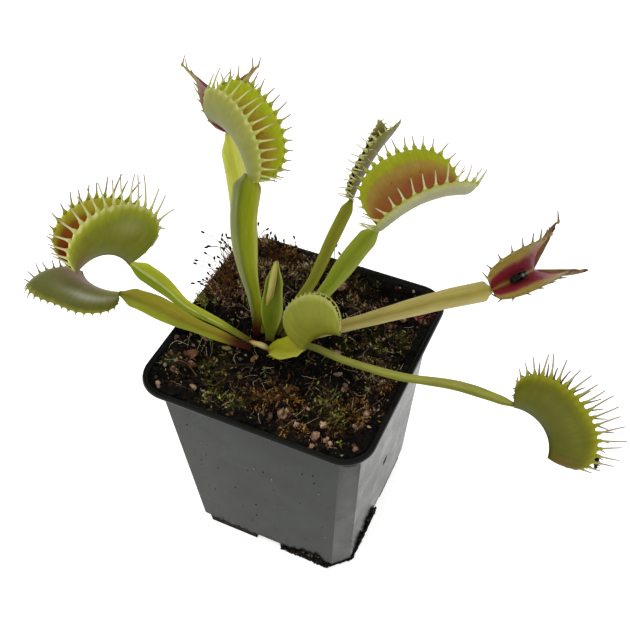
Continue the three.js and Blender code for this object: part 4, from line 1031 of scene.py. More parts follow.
def make_leaves():
    material = surface("leaf_skin", (0.42, 0.58), LEAF_GRAIN, LEAF_SWING, bump=0.03, specular=0.12)
    for index, leaf in enumerate(LEAVES):
        seed = SEEDS["leaves"] + LEAF_SEED_STEP * index
        trap = trap_of(leaf)
        piece = Piece(leaf["name"] + "_fine")
        stalk(piece, leaf, seed)
        trap_lobes(piece, leaf, trap, seed)
        trap_teeth(piece, leaf, trap, seed + 5)
        trigger_hairs(piece, trap, seed + 6)
        piece.make(material, [leaf["name"]])
    piece = Piece("leaf_unopened_fine")
    stalk(piece, UNOPENED, SEEDS["unopened"])
    pod(piece, FOLDED_TRAP, SEEDS["folded_trap"])
    piece.make(material, ["leaf_unopened"])
    piece = Piece("leaf_bud_fine")
    pod(piece, BUD, SEEDS["bud"])
    piece.make(material, ["leaf_bud"])


# Prey: a long abdomen, a round thorax and a small head along the midrib, with legs and wings

PREY = [
    {"name": "prey_right", "leaf": "leaf_right_long", "share": 0.4, "lift": 3.1, "length": 7.4},
    {"name": "prey_back", "leaf": "leaf_back_narrow", "share": 0.62, "lift": 8.2, "length": 8},
    {"name": "prey_front", "leaf": "leaf_front_right", "share": 0.9, "lift": 14.4, "length": 4.6},
]
# Abdomen, thorax and head, as shares of the body's length: the place, the half length and the half thickness
PREY_LUMPS = [(-0.24, 0.3, 0.17), (0.12, 0.19, 0.17), (0.34, 0.13, 0.13)]
# Wings, as shares of the body's length: how far they splay, and their half length, thickness and half width
WING_SPREAD = 0.24
WING_SIZE = (0.26, 0.012, 0.065)
# Where they grow, above the middle of the body and along it, as shares of its length
WING_ROOT = (0.17, -0.08)
# Bands round the body: their height as a share of its thickness, and radians per mm
BAND_RELIEF = 0.05
BAND_WAVES = 9
# Where the legs start along the body, as shares of its length, and their radius in mm
LEG_ROOTS = (-0.05, 0.1, 0.25)
LEG_RADIUS = 0.1
LEG_COLOUR = "16140f"
WING_COLOUR = "060606"
# The body's own colour, and that of the painted highlight on its upper side
BODY_AND_PAINTED_HIGHLIGHT_COLOURS = ("050403", "a0a4a0")


def make_prey():
    material = surface("insect", (0.2, 0.4), (2, 2, 2), (0.5, 1.5), bump=0.05, specular=0.1)
    lump = ball(3)
    for index, prey in enumerate(PREY):
        leaf = next(leaf for leaf in LEAVES if leaf["name"] == prey["leaf"])
        trap = trap_of(leaf)
        centre, out, across = trap_frame(trap, np.array(prey["share"]))
        along = np.cross(out, across)
        length = prey["length"]
        middle = centre + out * prey["lift"]
        piece = Piece(prey["name"] + "_fine")
        for shift, half, thick in PREY_LUMPS:
            points = lump[0] * [half * length, thick * length, thick * length]
            points = points * (1 + BAND_RELIEF * np.sin(points[:, :1] * BAND_WAVES))
            # Painted highlight: the upper side of each lump is lighter
            tint = mix(*map(colour, BODY_AND_PAINTED_HIGHLIGHT_COLOURS), 0.35 * smooth(0.5, 1, lump[0][:, 1:2]) ** 4)
            add_turned(piece, lump, points, (along, out, across), middle + along * shift * length, tint)
        for side in (1, -1):
            back = unit(-along + across * side * WING_SPREAD)
            axes = (back, unit(out + across * side * 0.3), np.cross(back, out))
            root = middle + (out * WING_ROOT[0] + along * WING_ROOT[1]) * length
            place = root + back * WING_SIZE[0] * length
            add_turned(piece, lump, lump[0] * np.array(WING_SIZE) * length, axes, place, colour(WING_COLOUR))
        rng = np.random.default_rng(SEEDS["prey"] + index)
        t = np.linspace(0, 1, 6)
        legs = []
        for side in (1, -1):
            for reach in LEG_ROOTS:
                ahead, above = reach + rng.normal(0, 0.1), rng.normal(0.12, 0.08)
                foot = along * ahead + across * side * 0.3 + out * above
                knee = along * reach + across * side * 0.22 + out * 0.28
                root = along * reach + across * side * 0.1
                leg = root + (knee - root) * np.minimum(1, 2 * t)[:, None]
                legs.append(middle + length * (leg + (foot - knee) * np.maximum(0, 2 * t - 1)[:, None]))
        add_wires(piece, np.array(legs), LEG_RADIUS, 5, colour(LEG_COLOUR))
        piece.make(material, [prey["name"]])


# Pot: a square, tapered pot with a lip, a short collar, chamfered corners and a notched foot

RIM_HALF = 45
POT_HEIGHT = 95
LIP_WIDTH = 1.7
LIP_DEPTH = 2.2
LIP_RADIUS = 11.5
LIP_EDGE = 0.3
COLLAR_HALF = 42.6
COLLAR_DEPTH = 7.5
COLLAR_RADIUS = 9.2
COLLAR_STEP = {"inset": 0.5, "radius": 6.7, "height": 1.4}
WALL_TOP_HALF = 40.3
WALL_BOTTOM_HALF = 35.2
WALL_CHAMFER = 5.8
WALL_CHAMFER_BULGE = 0.05
WALL_THICKNESS = 1.1
FOOT_HALF = 34.4
FOOT_CHAMFER = 7.5
FOOT_HEIGHT = 5.5
FOOT_FLARE = 0.4
FOOT_THICKNESS = 1.6
FOOT_INNER_CHAMFER = 6.8
FLOOR_UNDERSIDE = 4.0
FLOOR_TOP = 5.7
PAD_RADIUS = 9
PAD_FLARE = 0.6
NOTCH = {"width": 11.2, "depth": 6}
DRAIN = {"radius": 3.6, "offset": 19, "sides": 32}
SLIT = {"inset": 3, "depth": 5, "length": 4, "height": 3.6, "y": 0.6, "z": 36.5}
CORNER_STEPS = 20
EDGE_ROUNDING = 0.35
EDGE_STEPS = 4
# Edges sharper than these angles, in degrees, stay crisp
POT_CREASE = 32
CRUMB_CREASE = 50


def pot_profile():
    """The pot's outline at each level, from the pad up the outside and down the inside.

    Each row holds the half width, the cut of the corners, how round they are, and the height.
    """
    collar_bottom = POT_HEIGHT - COLLAR_DEPTH
    lip_bottom = POT_HEIGHT - LIP_DEPTH
    foot_inner = FOOT_HALF - FOOT_THICKNESS
    slope = (WALL_TOP_HALF - WALL_BOTTOM_HALF) / (collar_bottom - FOOT_HEIGHT)
    floor_half = WALL_BOTTOM_HALF + slope * (FLOOR_TOP - FOOT_HEIGHT) - WALL_THICKNESS
    return np.array([
        (PAD_RADIUS, PAD_RADIUS * 0.99, 1, 0),
        (PAD_RADIUS + PAD_FLARE, PAD_RADIUS, 1, FLOOR_UNDERSIDE),
        (foot_inner, FOOT_INNER_CHAMFER, 0, FLOOR_UNDERSIDE),
        (foot_inner, FOOT_INNER_CHAMFER, 0, 0),
        (FOOT_HALF, FOOT_CHAMFER, WALL_CHAMFER_BULGE, 0),
        (FOOT_HALF + FOOT_FLARE, FOOT_CHAMFER, WALL_CHAMFER_BULGE, FOOT_HEIGHT - FOOT_FLARE),
        (WALL_BOTTOM_HALF, WALL_CHAMFER, WALL_CHAMFER_BULGE, FOOT_HEIGHT),
        (WALL_TOP_HALF, WALL_CHAMFER, WALL_CHAMFER_BULGE, collar_bottom),
        (COLLAR_HALF - COLLAR_STEP["inset"], COLLAR_STEP["radius"], 1, collar_bottom + COLLAR_STEP["height"]),
        (COLLAR_HALF, COLLAR_RADIUS, 1, lip_bottom - 2 * LIP_EDGE),
        (RIM_HALF - LIP_EDGE, LIP_RADIUS, 1, lip_bottom),
        (RIM_HALF, LIP_RADIUS, 1, mix(lip_bottom, POT_HEIGHT, 0.4)),
        (RIM_HALF - LIP_EDGE, LIP_RADIUS, 1, POT_HEIGHT),
        (RIM_HALF - LIP_WIDTH, LIP_RADIUS - LIP_WIDTH, 1, POT_HEIGHT),
        (COLLAR_HALF - WALL_THICKNESS, COLLAR_RADIUS - WALL_THICKNESS, 1, lip_bottom),
        (WALL_TOP_HALF - WALL_THICKNESS, WALL_CHAMFER, WALL_CHAMFER_BULGE, collar_bottom),
        (floor_half, WALL_CHAMFER, WALL_CHAMFER_BULGE, FLOOR_TOP),
    ], float)


def eased_edges(profile, rounding):
    """The same profile with a small round at each of its inner points."""
    rows = [profile[0]]
    t = np.linspace(0, 1, EDGE_STEPS)[:, None]
    for before, corner, after in zip(profile, profile[1:], profile[2:]):
        ends = []
        for other in (before, after):
            run = math.hypot(other[0] - corner[0], other[3] - corner[3])
            ends.append(mix(corner, other, min(rounding / run, 0.45)))
        rows.extend((1 - t) ** 2 * ends[0] + 2 * t * (1 - t) * corner + t**2 * ends[1])
    return np.array([*rows, profile[-1]])


def square_rings(profile):
    """Square outlines whose corners run from a flat chamfer to a round arc."""
    half, cut, bulge, z = (profile[:, k, None] for k in range(4))
    t = np.linspace(0, 1, CORNER_STEPS + 1)
    turn = t * math.pi / 2
    x = mix(half - cut * t, half - cut + cut * np.cos(turn), bulge)
    y = mix(half - cut + cut * t, half - cut + cut * np.sin(turn), bulge)
    corners = []
    for _ in range(4):
        corners.append(stacked(x, y, z))
        x, y = -y, x
    return np.concatenate(corners, axis=1)


def plain_object(name, shape):
    points, quads, tris = shape
    mesh = bpy.data.meshes.new(name)
    mesh.from_pydata((points * MILLIMETRE).tolist(), [], [*quads.tolist(), *tris.tolist()])
    return linked(name, mesh)


def block(x, y, z, width, depth, height):
    """A box as a loft of two outlines."""
    corners = np.array([(1, 1), (-1, 1), (-1, -1), (1, -1)]) * [width / 2, depth / 2]
    rings = [[(x + dx, y + dy, z + side * height / 2) for dx, dy in corners] for side in (-1, 1)]
    return loft(np.array(rings))


# Noises in the pot's plastic: features per metre, detail and roughness
CLOUD = (60, 5, 0.65)
SMEAR = (90, 3, 0.6)
GRIT = (900, 3, 0.7)
SKIN = (2600, 2, 0.5)
# Levels in metres where soil fades in at the foot and near the rim, and where the painted shade of the collar
# begins
FOOT_DIRT = (0.009, 0.001)
RIM_DIRT = (0.084, 0.094)
COLLAR_SHADE = (0.0866, 0.0882)
# Heights in mm of the bumps that the plastic's skin and the dried soil make
SKIN_BUMP = 0.02
DIRT_BUMP = 0.25
PLASTIC_TONES = "0.3 121412, 0.75 252921"
DIRT_COLOUR = "1c150d"


def pot_material():
    material, tree, shader = new_material("moulded_plastic")
    place = node(tree, "TexCoord", output="Object")
    height = node(tree, "SeparateXYZ", output="Z", Vector=place)
    cloud, smear, grit, skin = (
        node(tree, "TexNoise", Vector=place, Scale=scale, Detail=detail, Roughness=roughness)
        for scale, detail, roughness in (CLOUD, SMEAR, GRIT, SKIN)
    )
    # Soil clings to the foot, and as specks near the rim
    low = mapped(tree, height, FOOT_DIRT, (0, 0.42))
    high = mapped(tree, height, RIM_DIRT, (0, 0.06))
    dirty = mapped(tree, added(tree, added(tree, low, high), grit), (0.7, 0.76), (0, 1))
    # Painted shade: the collar and lip are darker than the walls
    darker = mapped(tree, height, COLLAR_SHADE, (1, 0.3))
    clean = scaled(tree, two_tones(tree, cloud, PLASTIC_TONES), darker)
    earthy = (*colour(DIRT_COLOUR), 1)
    gloss = mapped(tree, smear, (0.35, 0.7), (0.2, 0.29))
    dent = bumps(tree, skin, SKIN_BUMP, 0.5)
    feed(
        tree,
        shader,
        Base_Color=node(tree, "Mix", {"data_type": "RGBA"}, Factor=dirty, A=clean, B=earthy),
        Roughness=node(tree, "Mix", Factor=dirty, A=gloss, B=0.9),
        Specular_IOR_Level=0.07,
        Normal=bumps(tree, dirty, DIRT_BUMP, Normal=dent),
    )
    return material


# Wet soil that clings round the near corner of the foot, as a route in x and y, and how high it reaches there
CLINGING_ROUTE = [(6, -34.8), (27, -34.8), (34.8, -27), (35, -12), (35, -3)]
CLINGING_HEIGHT = [6, 8, 7, 18, 14]
CLINGING_CRUMBS = 1600
CLINGING_RADII = (0.2, 0.8)
CLINGING_TONES = "0 020202, 0.7 0a0806, 0.92 2c2018, 1 7c6450"
# Specks on the front wall: how many, how far they spread, and how large and light they are
WALL_SPECKS = 46
SPECKS_ACROSS = (-32, 28)
SPECKS_UP = (7, 84)
SPECK_RADII = (0.12, 0.34)
SPECK_TONES = "0 020202, 0.7 040404, 0.8 8c8c84, 1 b4b4ac"


def wall_half(z):
    """Half the outer width of the pot at a height."""
    levels = [0, FOOT_HEIGHT, POT_HEIGHT - COLLAR_DEPTH]
    return np.interp(z, levels, [FOOT_HALF, WALL_BOTTOM_HALF, WALL_TOP_HALF])


def make_clinging_soil(material):
    """Crumbs stuck to the foot, and a few specks on the front wall."""
    rng = np.random.default_rng(SEEDS["clinging_soil"])
    route = np.array(CLINGING_ROUTE)
    run = run_along(route)
    at = run[-1] * rng.uniform(0, 1, CLINGING_CRUMBS) ** 0.8
    at = at[np.abs(np.interp(at, run, route[:, 0])) > NOTCH["width"] / 2 + 0.8]
    x, y = np.interp(at, run, route[:, 0]), np.interp(at, run, route[:, 1])
    clumps = np.clip(0.7 + 0.8 * noise(stacked(x, y, 0), 2, SEEDS["clinging_clumps"]), 0.15, 1.3)
    high = np.interp(at, run, CLINGING_HEIGHT) * clumps * rng.uniform(0, 1, len(at))
    size = rng.uniform(*CLINGING_RADII, len(at)) * (1 - 0.4 * high / max(CLINGING_HEIGHT))
    z = np.maximum(high, 1.7 * size)
    spread = (wall_half(z) / FOOT_HALF)[:, None]
    places = np.column_stack([np.column_stack([x, y]) * spread, z])
    across, up = (rng.uniform(*ends, WALL_SPECKS) for ends in (SPECKS_ACROSS, SPECKS_UP))
    specks = np.column_stack([across, -wall_half(up), up])
    piece = Piece("clinging_soil")
    sizes = size[:, None] * rng.uniform(0.5, 1.2, (len(places), 3))
    add_lumps(piece, places, sizes, rng, 0.4, CLINGING_TONES)
    sizes = rng.uniform(*SPECK_RADII, WALL_SPECKS)[:, None] * rng.uniform(0.6, 1.2, (WALL_SPECKS, 3))
    add_lumps(piece, specks, sizes, rng, 0.3, SPECK_TONES)
    piece.make(material, crease=CRUMB_CREASE)


def make_pot():
    pot = plain_object("pot_fine", loft(square_rings(eased_edges(pot_profile(), EDGE_ROUNDING))))
    slit_size = (SLIT["depth"] * 2, SLIT["length"], SLIT["height"])
    cutters = [block(WALL_TOP_HALF - SLIT["inset"], SLIT["y"], SLIT["z"], *slit_size)]
    turn = np.linspace(0, 2 * math.pi, DRAIN["sides"], endpoint=False)
    disc = stacked(np.cos(turn), np.sin(turn), 0) * [DRAIN["radius"], DRAIN["radius"], 1]
    for x, y in ((1, 0), (-1, 0), (0, 1), (0, -1)):
        width = NOTCH["depth"] if x else NOTCH["width"]
        depth = NOTCH["depth"] if y else NOTCH["width"]
        cutters.append(block(x * FOOT_HALF, y * FOOT_HALF, 0, width, depth, 2 * FLOOR_UNDERSIDE))
        place = np.array([(x - y) * DRAIN["offset"], (x + y) * DRAIN["offset"], 0])
        cutters.append(loft(np.array([disc + place, disc + place + [0, 0, 2 * FLOOR_TOP]])))
    for index, shape in enumerate(cutters):
        cutter = plain_object(f"cutter_{index}", shape)
        cut = pot.modifiers.new(cutter.name, "BOOLEAN")
        cut.operation = "DIFFERENCE"
        cut.solver = "EXACT"
        cut.object = cutter
    bpy.context.view_layer.update()
    cut_mesh = bpy.data.meshes.new_from_object(pot.evaluated_get(bpy.context.evaluated_depsgraph_get()))
    for cut in list(pot.modifiers):
        bpy.data.objects.remove(cut.object)
        pot.modifiers.remove(cut)
    pot.data = cut_mesh
    pot.data.shade_smooth()
    pot.data.set_sharp_from_angle(angle=math.radians(POT_CREASE))
    pot.data.materials.append(pot_material())
    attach(pot, "root")
    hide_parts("pot")


# Soil: a fine height field with crumbs, grains, fibres and moss on it

SOIL_LEVEL = 87.5
SOIL_SLOPE = 0.028
# Waves: height, radians per mm along x and y, and where they start
SOIL_WAVES = [(0.6, 0.31, 0.27, 0.6), (0.35, 0.83, -0.5, 0), (0.3, 0.37, 0.71, 1.1)]
# Mounds: place, radius and height
SOIL_MOUNDS = [
    (-4, -27, 7, 3.2), (9, -30, 6, 2.4), (22, -28, 7, 2.6), (27, -14, 6, 1.8), (-31, -24, 7, 1.8),
    (-26, 27, 12, 4.2), (-2, 33, 8, 2.6), (22, 26, 9, 1.4), (-38, 6, 7, 2.8),
]
CROWN_DISH = {"radius": 14, "depth": 4.6}
# Larger grains of pumice: place and radius
GRAINS = [
    (24, -37, 1.9), (27.5, -36, 1.3), (29.5, -37.5, 1.5), (36, -20, 1.9), (10, -34, 2.2), (-33, -11, 2.6),
    (-35, -31, 1.6), (14, 4, 1.7), (2, 34, 2.3), (13, 19, 2.4), (-6, 22, 2.6), (31, 30, 1.8), (24, -12, 1.5),
    (-22, 21, 1.8),
]
SOIL_CELLS = 205
# The soil rises towards the walls, and follows the inside of the collar up to this level
SOIL_EDGE = {"level": 93.3, "rise": 5.2, "sharpness": 5}
SOIL_HALF = 42.2
SOIL_CORNER = 10
SOIL_TOP = 93.9
# Rings below its brim: the share of the brim's width, and the level
SOIL_SIDES = [(0.974, 92.2), (0.9, 87.2), (0.77, 6.0)]
# Clumps of the soil surface: size across, height, and seed
SOIL_CLUMPS = [(9, 0.9, 1), (3.6, 1.1, 2), (1.5, 0.8, 3), (0.8, 0.35, 4)]
# Bare soil in random tones, from near black, partly painted shade between its particles, to its lightest
# crumbs
SOIL_TONES = "0 020101, 0.5 080604, 0.7 18110b, 0.88 38291c, 1 6c5640"
# The soil's base and its sides, which the pot hides
SOIL_UNDER = "0c0906"
# Nearly black places, partly soaked peat and partly painted shade near the crown: x, y and radius
SOIL_SOAKED_AND_PAINTED_SHADE = [
    (-10, -4, 9), (4, -12, 9), (-8, -18, 6), (16, 36, 7), (22, -4, 6), (-36, -4, 5), (-20, 6, 5), (8, 10, 5),
]


def brim_reach(x, y):
    """How far out a point is, from 0 in the middle to 1 at the brim, which is a square with round corners."""
    far = np.maximum(np.abs(x), np.abs(y)) / SOIL_HALF
    near = np.minimum(np.abs(x), np.abs(y)) / SOIL_HALF
    round_share = SOIL_CORNER / SOIL_HALF
    flat = 1 - round_share
    total = far + near
    square = np.maximum(far**2 + near**2, 1e-12)
    root = np.sqrt(np.maximum((flat * total) ** 2 - square * (2 * flat**2 - round_share**2), 0))
    scale = np.where(near < flat * far, 1 / np.maximum(far, 1e-9), (flat * total + root) / square)
    return 1 / scale


def soil_height(x, y):
    z = SOIL_LEVEL - SOIL_SLOPE * (x + y)
    for height, along_x, along_y, shift in SOIL_WAVES:
        z = z + height * np.sin(along_x * x + along_y * y + shift)
    for *mound, height in SOIL_MOUNDS:
        z = z + height * fading(x, y, *mound)
    from_crown = np.hypot(x - CROWN["x"], y - CROWN["y"]) / CROWN_DISH["radius"]
    outwards = np.maximum(np.abs(x), np.abs(y)) / WALL_TOP_HALF
    rise = SOIL_EDGE["rise"] * outwards ** SOIL_EDGE["sharpness"]
    return z - CROWN_DISH["depth"] * np.exp(-(from_crown**4)) + rise


def clumpy_height(x, y):
    clumps = sum(height * noise(stacked(x, y, 0), size, seed) for size, height, seed in SOIL_CLUMPS)
    edge = smooth(0.9, 1, brim_reach(x, y))
    brim = np.minimum(SOIL_EDGE["level"] + 0.5 * clumps, SOIL_TOP)
    return mix(soil_height(x, y) + clumps, brim, edge)


def within_pot(x, y, margin):
    """Whether places lie on the soil, at least this far from its edge."""
    return brim_reach(x, y) < 1 - margin / SOIL_HALF


def clustered(rng, centre, spread, count, margin):
    """Random places in x and y round a centre, those of them that lie on the soil."""
    x, y = rng.normal(0, spread, (2, count)) + np.array(centre)[:, None]
    kept = within_pot(x, y, margin)
    return x[kept], y[kept]


# Kinds of moss: their colours at the root and the tip
OLIVE = ("0a0a04", "8a8a3c")
GREEN = ("0e1006", "949a4c")
RUST = ("0c0603", "b07838")
BROWN = ("140a06", "c89c7c")
TAN = ("140c06", "d8b284")
RED = ("2c0a08", "a8504c")
# The kinds of moss that make up each piece
MOSS_PIECES = {
    "moss_green": (OLIVE, GREEN),
    "moss_rust": (RUST,),
    "moss_brown": (BROWN,),
    "moss_tan": (TAN, RED),
}
# Colours towards which single shoots stray from their patch's own
MOSS_STRAYS = ["100c06", "5c3c20", "8c7c40", "b89c70", "6c7030", "7c3c18"]
# Patches of moss: place, radius, height of the shoots, how many, and their kind
MOSS = [
    (-1, -27, 6, 3.4, 420, RUST), (8, -23, 5, 3, 300, RUST), (20, -20, 6, 2.6, 360, OLIVE),
    (27, -26, 5, 2.4, 260, OLIVE), (33, -19, 6, 2.8, 260, RUST), (-24, -21, 7, 2.2, 360, OLIVE),
    (-37, -29, 4, 1.2, 90, GREEN), (-31, 18, 8, 3.4, 620, BROWN), (-29, 30, 8, 3.4, 680, TAN),
    (-17, 35, 7, 3, 420, TAN), (-2, 33, 7, 2.8, 320, RUST), (25, 14, 8, 1.8, 320, OLIVE),
    (34, 20, 5, 1.6, 160, GREEN), (38, 31, 3.5, 3, 260, RED), (-8, -34, 5, 1.8, 200, OLIVE),
    (12, 31, 7, 2.4, 320, TAN), (-17, -34, 7, 1.8, 240, OLIVE), (37, -6, 4, 1.8, 160, RUST),
    (14, 5, 7, 1.4, 180, OLIVE), (-38, 6, 5, 2.6, 260, BROWN), (14, -36, 6, 1.8, 220, RUST),
    (-30, -8, 6, 1.4, 140, OLIVE), (26, -34, 6, 1.8, 220, RUST), (-5, 20, 7, 1.6, 180, BROWN),
    (-36, 38, 3, 3, 160, TAN), (30, 2, 7, 1.6, 220, TAN), (-40, 2, 3, 4, 220, OLIVE),
    (-40, 10, 3.5, 4, 330, BROWN), (-40, 18, 3.5, 4.4, 400, RUST), (-40, 26, 3.5, 4.4, 400, TAN),
    (-39, 34, 3.5, 4.4, 380, BROWN), (-32, 39.5, 3.5, 4, 340, TAN), (-23, 39.5, 3.5, 3.6, 300, RUST),
    (-14, 39.5, 3, 3.2, 240, TAN), (-5, 39.5, 3, 3, 240, RUST), (5, 39.5, 3, 3, 200, BROWN),
    (14, 39.5, 3, 2.4, 120, OLIVE),
]
# How far the shoots beside the rim lean out over it
MOSS_LEAN = 1.6
# How far the shoots of a patch and the stalks of a group spread, as shares of the radius
MOSS_SPREAD = 0.55
SPORE_SPREAD = 0.6
# Size of the tufts that the shoots form
MOSS_CLUMP = 1.5
# A shoot's stem: the points along it and its radius
STEM_STATIONS = 3
STEM_RADIUS = 0.13
# Its leaflets: how far a tip reaches up and out as a share of the length, and in mm half the width and how
# far the keel lies up and in from the root
LEAFLET_REACH = 0.75
LEAFLET_HALF = 0.17
LEAFLET_KEEL = (0.12, 0.06)
LEAFLETS = 5
LEAFLET_FACES = np.array([(0, 1, 3), (1, 2, 3), (2, 0, 3), (0, 2, 1)])


def moss_cover(x, y):
    """How much moss covers each point, from 0 to 1, and its colour."""
    cover = np.zeros(x.shape)
    tint = np.zeros((*x.shape, 3))
    for *patch, _, _, (_, tip) in MOSS:
        weight = fading(x, y, *patch)
        cover += weight
        tint += weight[..., None] * colour(tip)
    return np.clip(cover, 0, 1), tint / np.maximum(cover, 1e-6)[..., None]


def soil_tint(x, y, z):
    place = stacked(x, y, z)
    bright = 0.5 + 0.5 * layered(place, 2.2, SEEDS["soil_tones"])
    bare = shaded(SOIL_TONES, bright)
    cover, moss = moss_cover(x, y)
    fringe = smooth(0.35, 0.75, cover + 0.35 * noise(place, 1.6, SEEDS["moss_fringe"]))[..., None]
    tint = mix(bare, moss * (0.03 + 0.3 * bright[..., None] ** 2), 0.7 * fringe)
    # Darker where the soil is soaked and where shade is painted
    return tint * soaked_and_painted_shade_factor(x, y)[..., None]


def soaked_and_painted_shade_factor(x, y):
    """A factor for the soil's colours, low in its nearly black places, which are partly soaked peat and partly
    painted shade.
    """
    darkened = sum(fading(x, y, *place) for place in SOIL_SOAKED_AND_PAINTED_SHADE)
    return 1 - 0.85 * np.clip(darkened, 0, 1)


def make_soil(material):
    """The surface, on a square grid drawn in to the pot's inner outline, with sides and a base."""
    step = np.linspace(-1, 1, SOIL_CELLS + 1)
    u, v = np.meshgrid(step, step, indexing="ij")
    # Each square loop of the grid is drawn in to the outline of the brim
    scale = np.maximum(np.abs(u), np.abs(v)) / np.maximum(brim_reach(u, v), 1e-9)
    x, y = u * scale, v * scale
    z = clumpy_height(x, y)
    cells = SOIL_CELLS + 1
    index = np.arange(cells * cells).reshape(cells, cells)
    quads = [np.stack([index[:-1, :-1], index[1:, :-1], index[1:, 1:], index[:-1, 1:]], -1).reshape(-1, 4)]
    edge = np.concatenate([index[:-1, 0], index[-1, :-1], index[:0:-1, -1], index[0, :0:-1]])
    top = stacked(x, y, z).reshape(-1, 3)
    points = [top]
    above = edge
    for row, (share, level) in enumerate(SOIL_SIDES):
        points.append(top[edge] * [share, share, 0] + [0, 0, level])
        below = len(top) + row * len(edge) + np.arange(len(edge))
        quads.append(np.stack([above, below, np.roll(below, -1), np.roll(above, -1)], -1))
        above = below
    points = np.concatenate([*points, [[0, 0, SOIL_SIDES[-1][1]]]])
    bottom = np.stack([np.full(len(edge), len(points) - 1), np.roll(above, -1), above], -1)
    piece = Piece("soil_fine")
    tint = np.concatenate([soil_tint(*top.T), np.tile(colour(SOIL_UNDER), (len(points) - len(top), 1))])
    piece.add((points, np.concatenate(quads), bottom), tint)
    piece.make(material, ["soil"])


# What is sprinkled over the soil: how many of each, their sizes in mm, and their colours from dark to light
CRUMBS = 3000
LEAST_CRUMB = 0.3
CRUMB_RANGE = 1.15
CRUMB_TONES = "0 030202, 0.6 0a0705, 0.84 22170f, 0.94 74543e, 1 d0b090"
SMALL_GRAINS = 190
GRAIN_RADII = (0.35, 1.0)
SMALL_GRAIN_TONES = "0 20160f, 0.5 6a5242, 1 c8ac9c"
PUMICE_TONES = "0 4c3020, 0.45 946e54, 0.8 d8b296"
FIBRES = 800
FIBRE_STATIONS = 7
FIBRE_LENGTHS = (1.2, 9)
FIBRE_RADII = (0.05, 0.11)
FIBRE_TONES = "0 20140a, 0.45 5c4024, 0.72 a07c50, 1 ecdcb8"
SPROUTS = 34
SPROUT_STATIONS = 5
SPROUT_HEIGHTS = (1.2, 3.2)
SPROUT_RADIUS = 0.13
SPROUT_STEM = "7c8c3c"
SPROUT_LEAF_SIZES = (0.35, 0.7)
SPROUT_LEAVES = ["7a9438", "94a848", "5c7c2c"]
# Nothing is sprinkled nearer than this to the middle of the crown
CROWN_CLEAR = 4.5


def sprinkled(count, rng, margin=0.6):
    """Random places on the soil."""
    x, y = rng.uniform(-SOIL_HALF, SOIL_HALF, (2, 3 * count))
    kept = within_pot(x, y, margin) & (np.hypot(x - CROWN["x"], y - CROWN["y"]) > CROWN_CLEAR)
    x, y = x[kept][:count], y[kept][:count]
    return stacked(x, y, clumpy_height(x, y))


def make_crumbs(material):
    rng = np.random.default_rng(SEEDS["crumbs"])
    places = sprinkled(CRUMBS, rng)
    size = LEAST_CRUMB + CRUMB_RANGE * rng.uniform(0, 1, len(places)) ** 3
    sizes = size[:, None] * rng.uniform(0.5, 1.2, (len(places), 3))
    places[:, 2] += size * 0.25
    piece = Piece("peat_crumbs")
    # The crumbs are darker where the soil is soaked and where shade is painted
    add_lumps(piece, places, sizes, rng, 0.4, CRUMB_TONES, soaked_and_painted_shade_factor(*places[:, :2].T)[:, None])
    piece.make(material, crease=CRUMB_CREASE)


def make_grains():
    """Pumice: the larger grains of the packed soil, and small ones between them."""
    material = surface("pumice", (0.85, 1), (3, 3, 3), (0.5, 0.95), bump=0.4, specular=0.15)
    rng = np.random.default_rng(SEEDS["grains"])
    piece = Piece("pumice_grains")
    large = ball(3)
    seed = SEEDS["pumice"]
    for x, y, radius in GRAINS:
        points = (large[0] * [1, 0.8, 0.66] * radius) @ spun(1, rng)[0]
        place = np.array([x, y, float(soil_height(x, y)) + radius / 2 + 0.6])
        points = points * (1 + 0.55 * layered(points + place, 0.9 * radius, seed))[:, None]
        pits = smooth(0.2, 0.5, noise(points + place, 0.7, seed + 1))[:, None]
        points = points * (1 - 0.16 * pits)
        light = 0.5 + 0.5 * layered(points + place, 1.2, seed + 2)
        # Painted shade: the tone is darker in the pits
        tint = shaded(PUMICE_TONES, light) * (1 - 0.8 * pits)
        piece.add((points + place, *large[1:]), tint)
    places = sprinkled(SMALL_GRAINS, rng)
    size = rng.uniform(*GRAIN_RADII, len(places))
    places[:, 2] += size * 0.3
    sizes = size[:, None] * rng.uniform(0.5, 1.1, (len(places), 3))
    add_lumps(piece, places, sizes, rng, 0.35, SMALL_GRAIN_TONES)
    piece.make(material)


def make_fibres(material):
    """Thin straws and rootlets that lie on the soil."""
    rng = np.random.default_rng(SEEDS["fibres"])
    places = sprinkled(FIBRES, rng, 2.5)
    t = np.linspace(-0.5, 0.5, FIBRE_STATIONS)
    turn = rng.uniform(0, 2 * math.pi, FIBRES)[:, None] + rng.normal(0, 0.7, FIBRES)[:, None] * t
    long = rng.uniform(*FIBRE_LENGTHS, FIBRES)[:, None]
    x = places[:, :1] + long * t * np.cos(turn)
    y = places[:, 1:2] + long * t * np.sin(turn)
    kept = within_pot(x, y, 0.3).all(axis=1)
    x, y, long = x[kept], y[kept], long[kept]
    tilt = rng.normal(0, 0.16, len(x))[:, None]
    z = mix(clumpy_height(x, y), soil_height(x, y), 0.6) + 0.5 + np.abs(tilt) * long * (t + 0.5)
    radius = rng.uniform(*FIBRE_RADII, len(x))[:, None] * (1 - np.abs(t * 1.4) ** 3)
    shape = tubes(stacked(x, y, z), radius, sides=4)
    light = np.repeat(rng.uniform(0, 1, len(x)), len(shape[0]) // len(x))
    piece = Piece("fibres")
    piece.add(shape, shaded(FIBRE_TONES, light))
    piece.make(material)


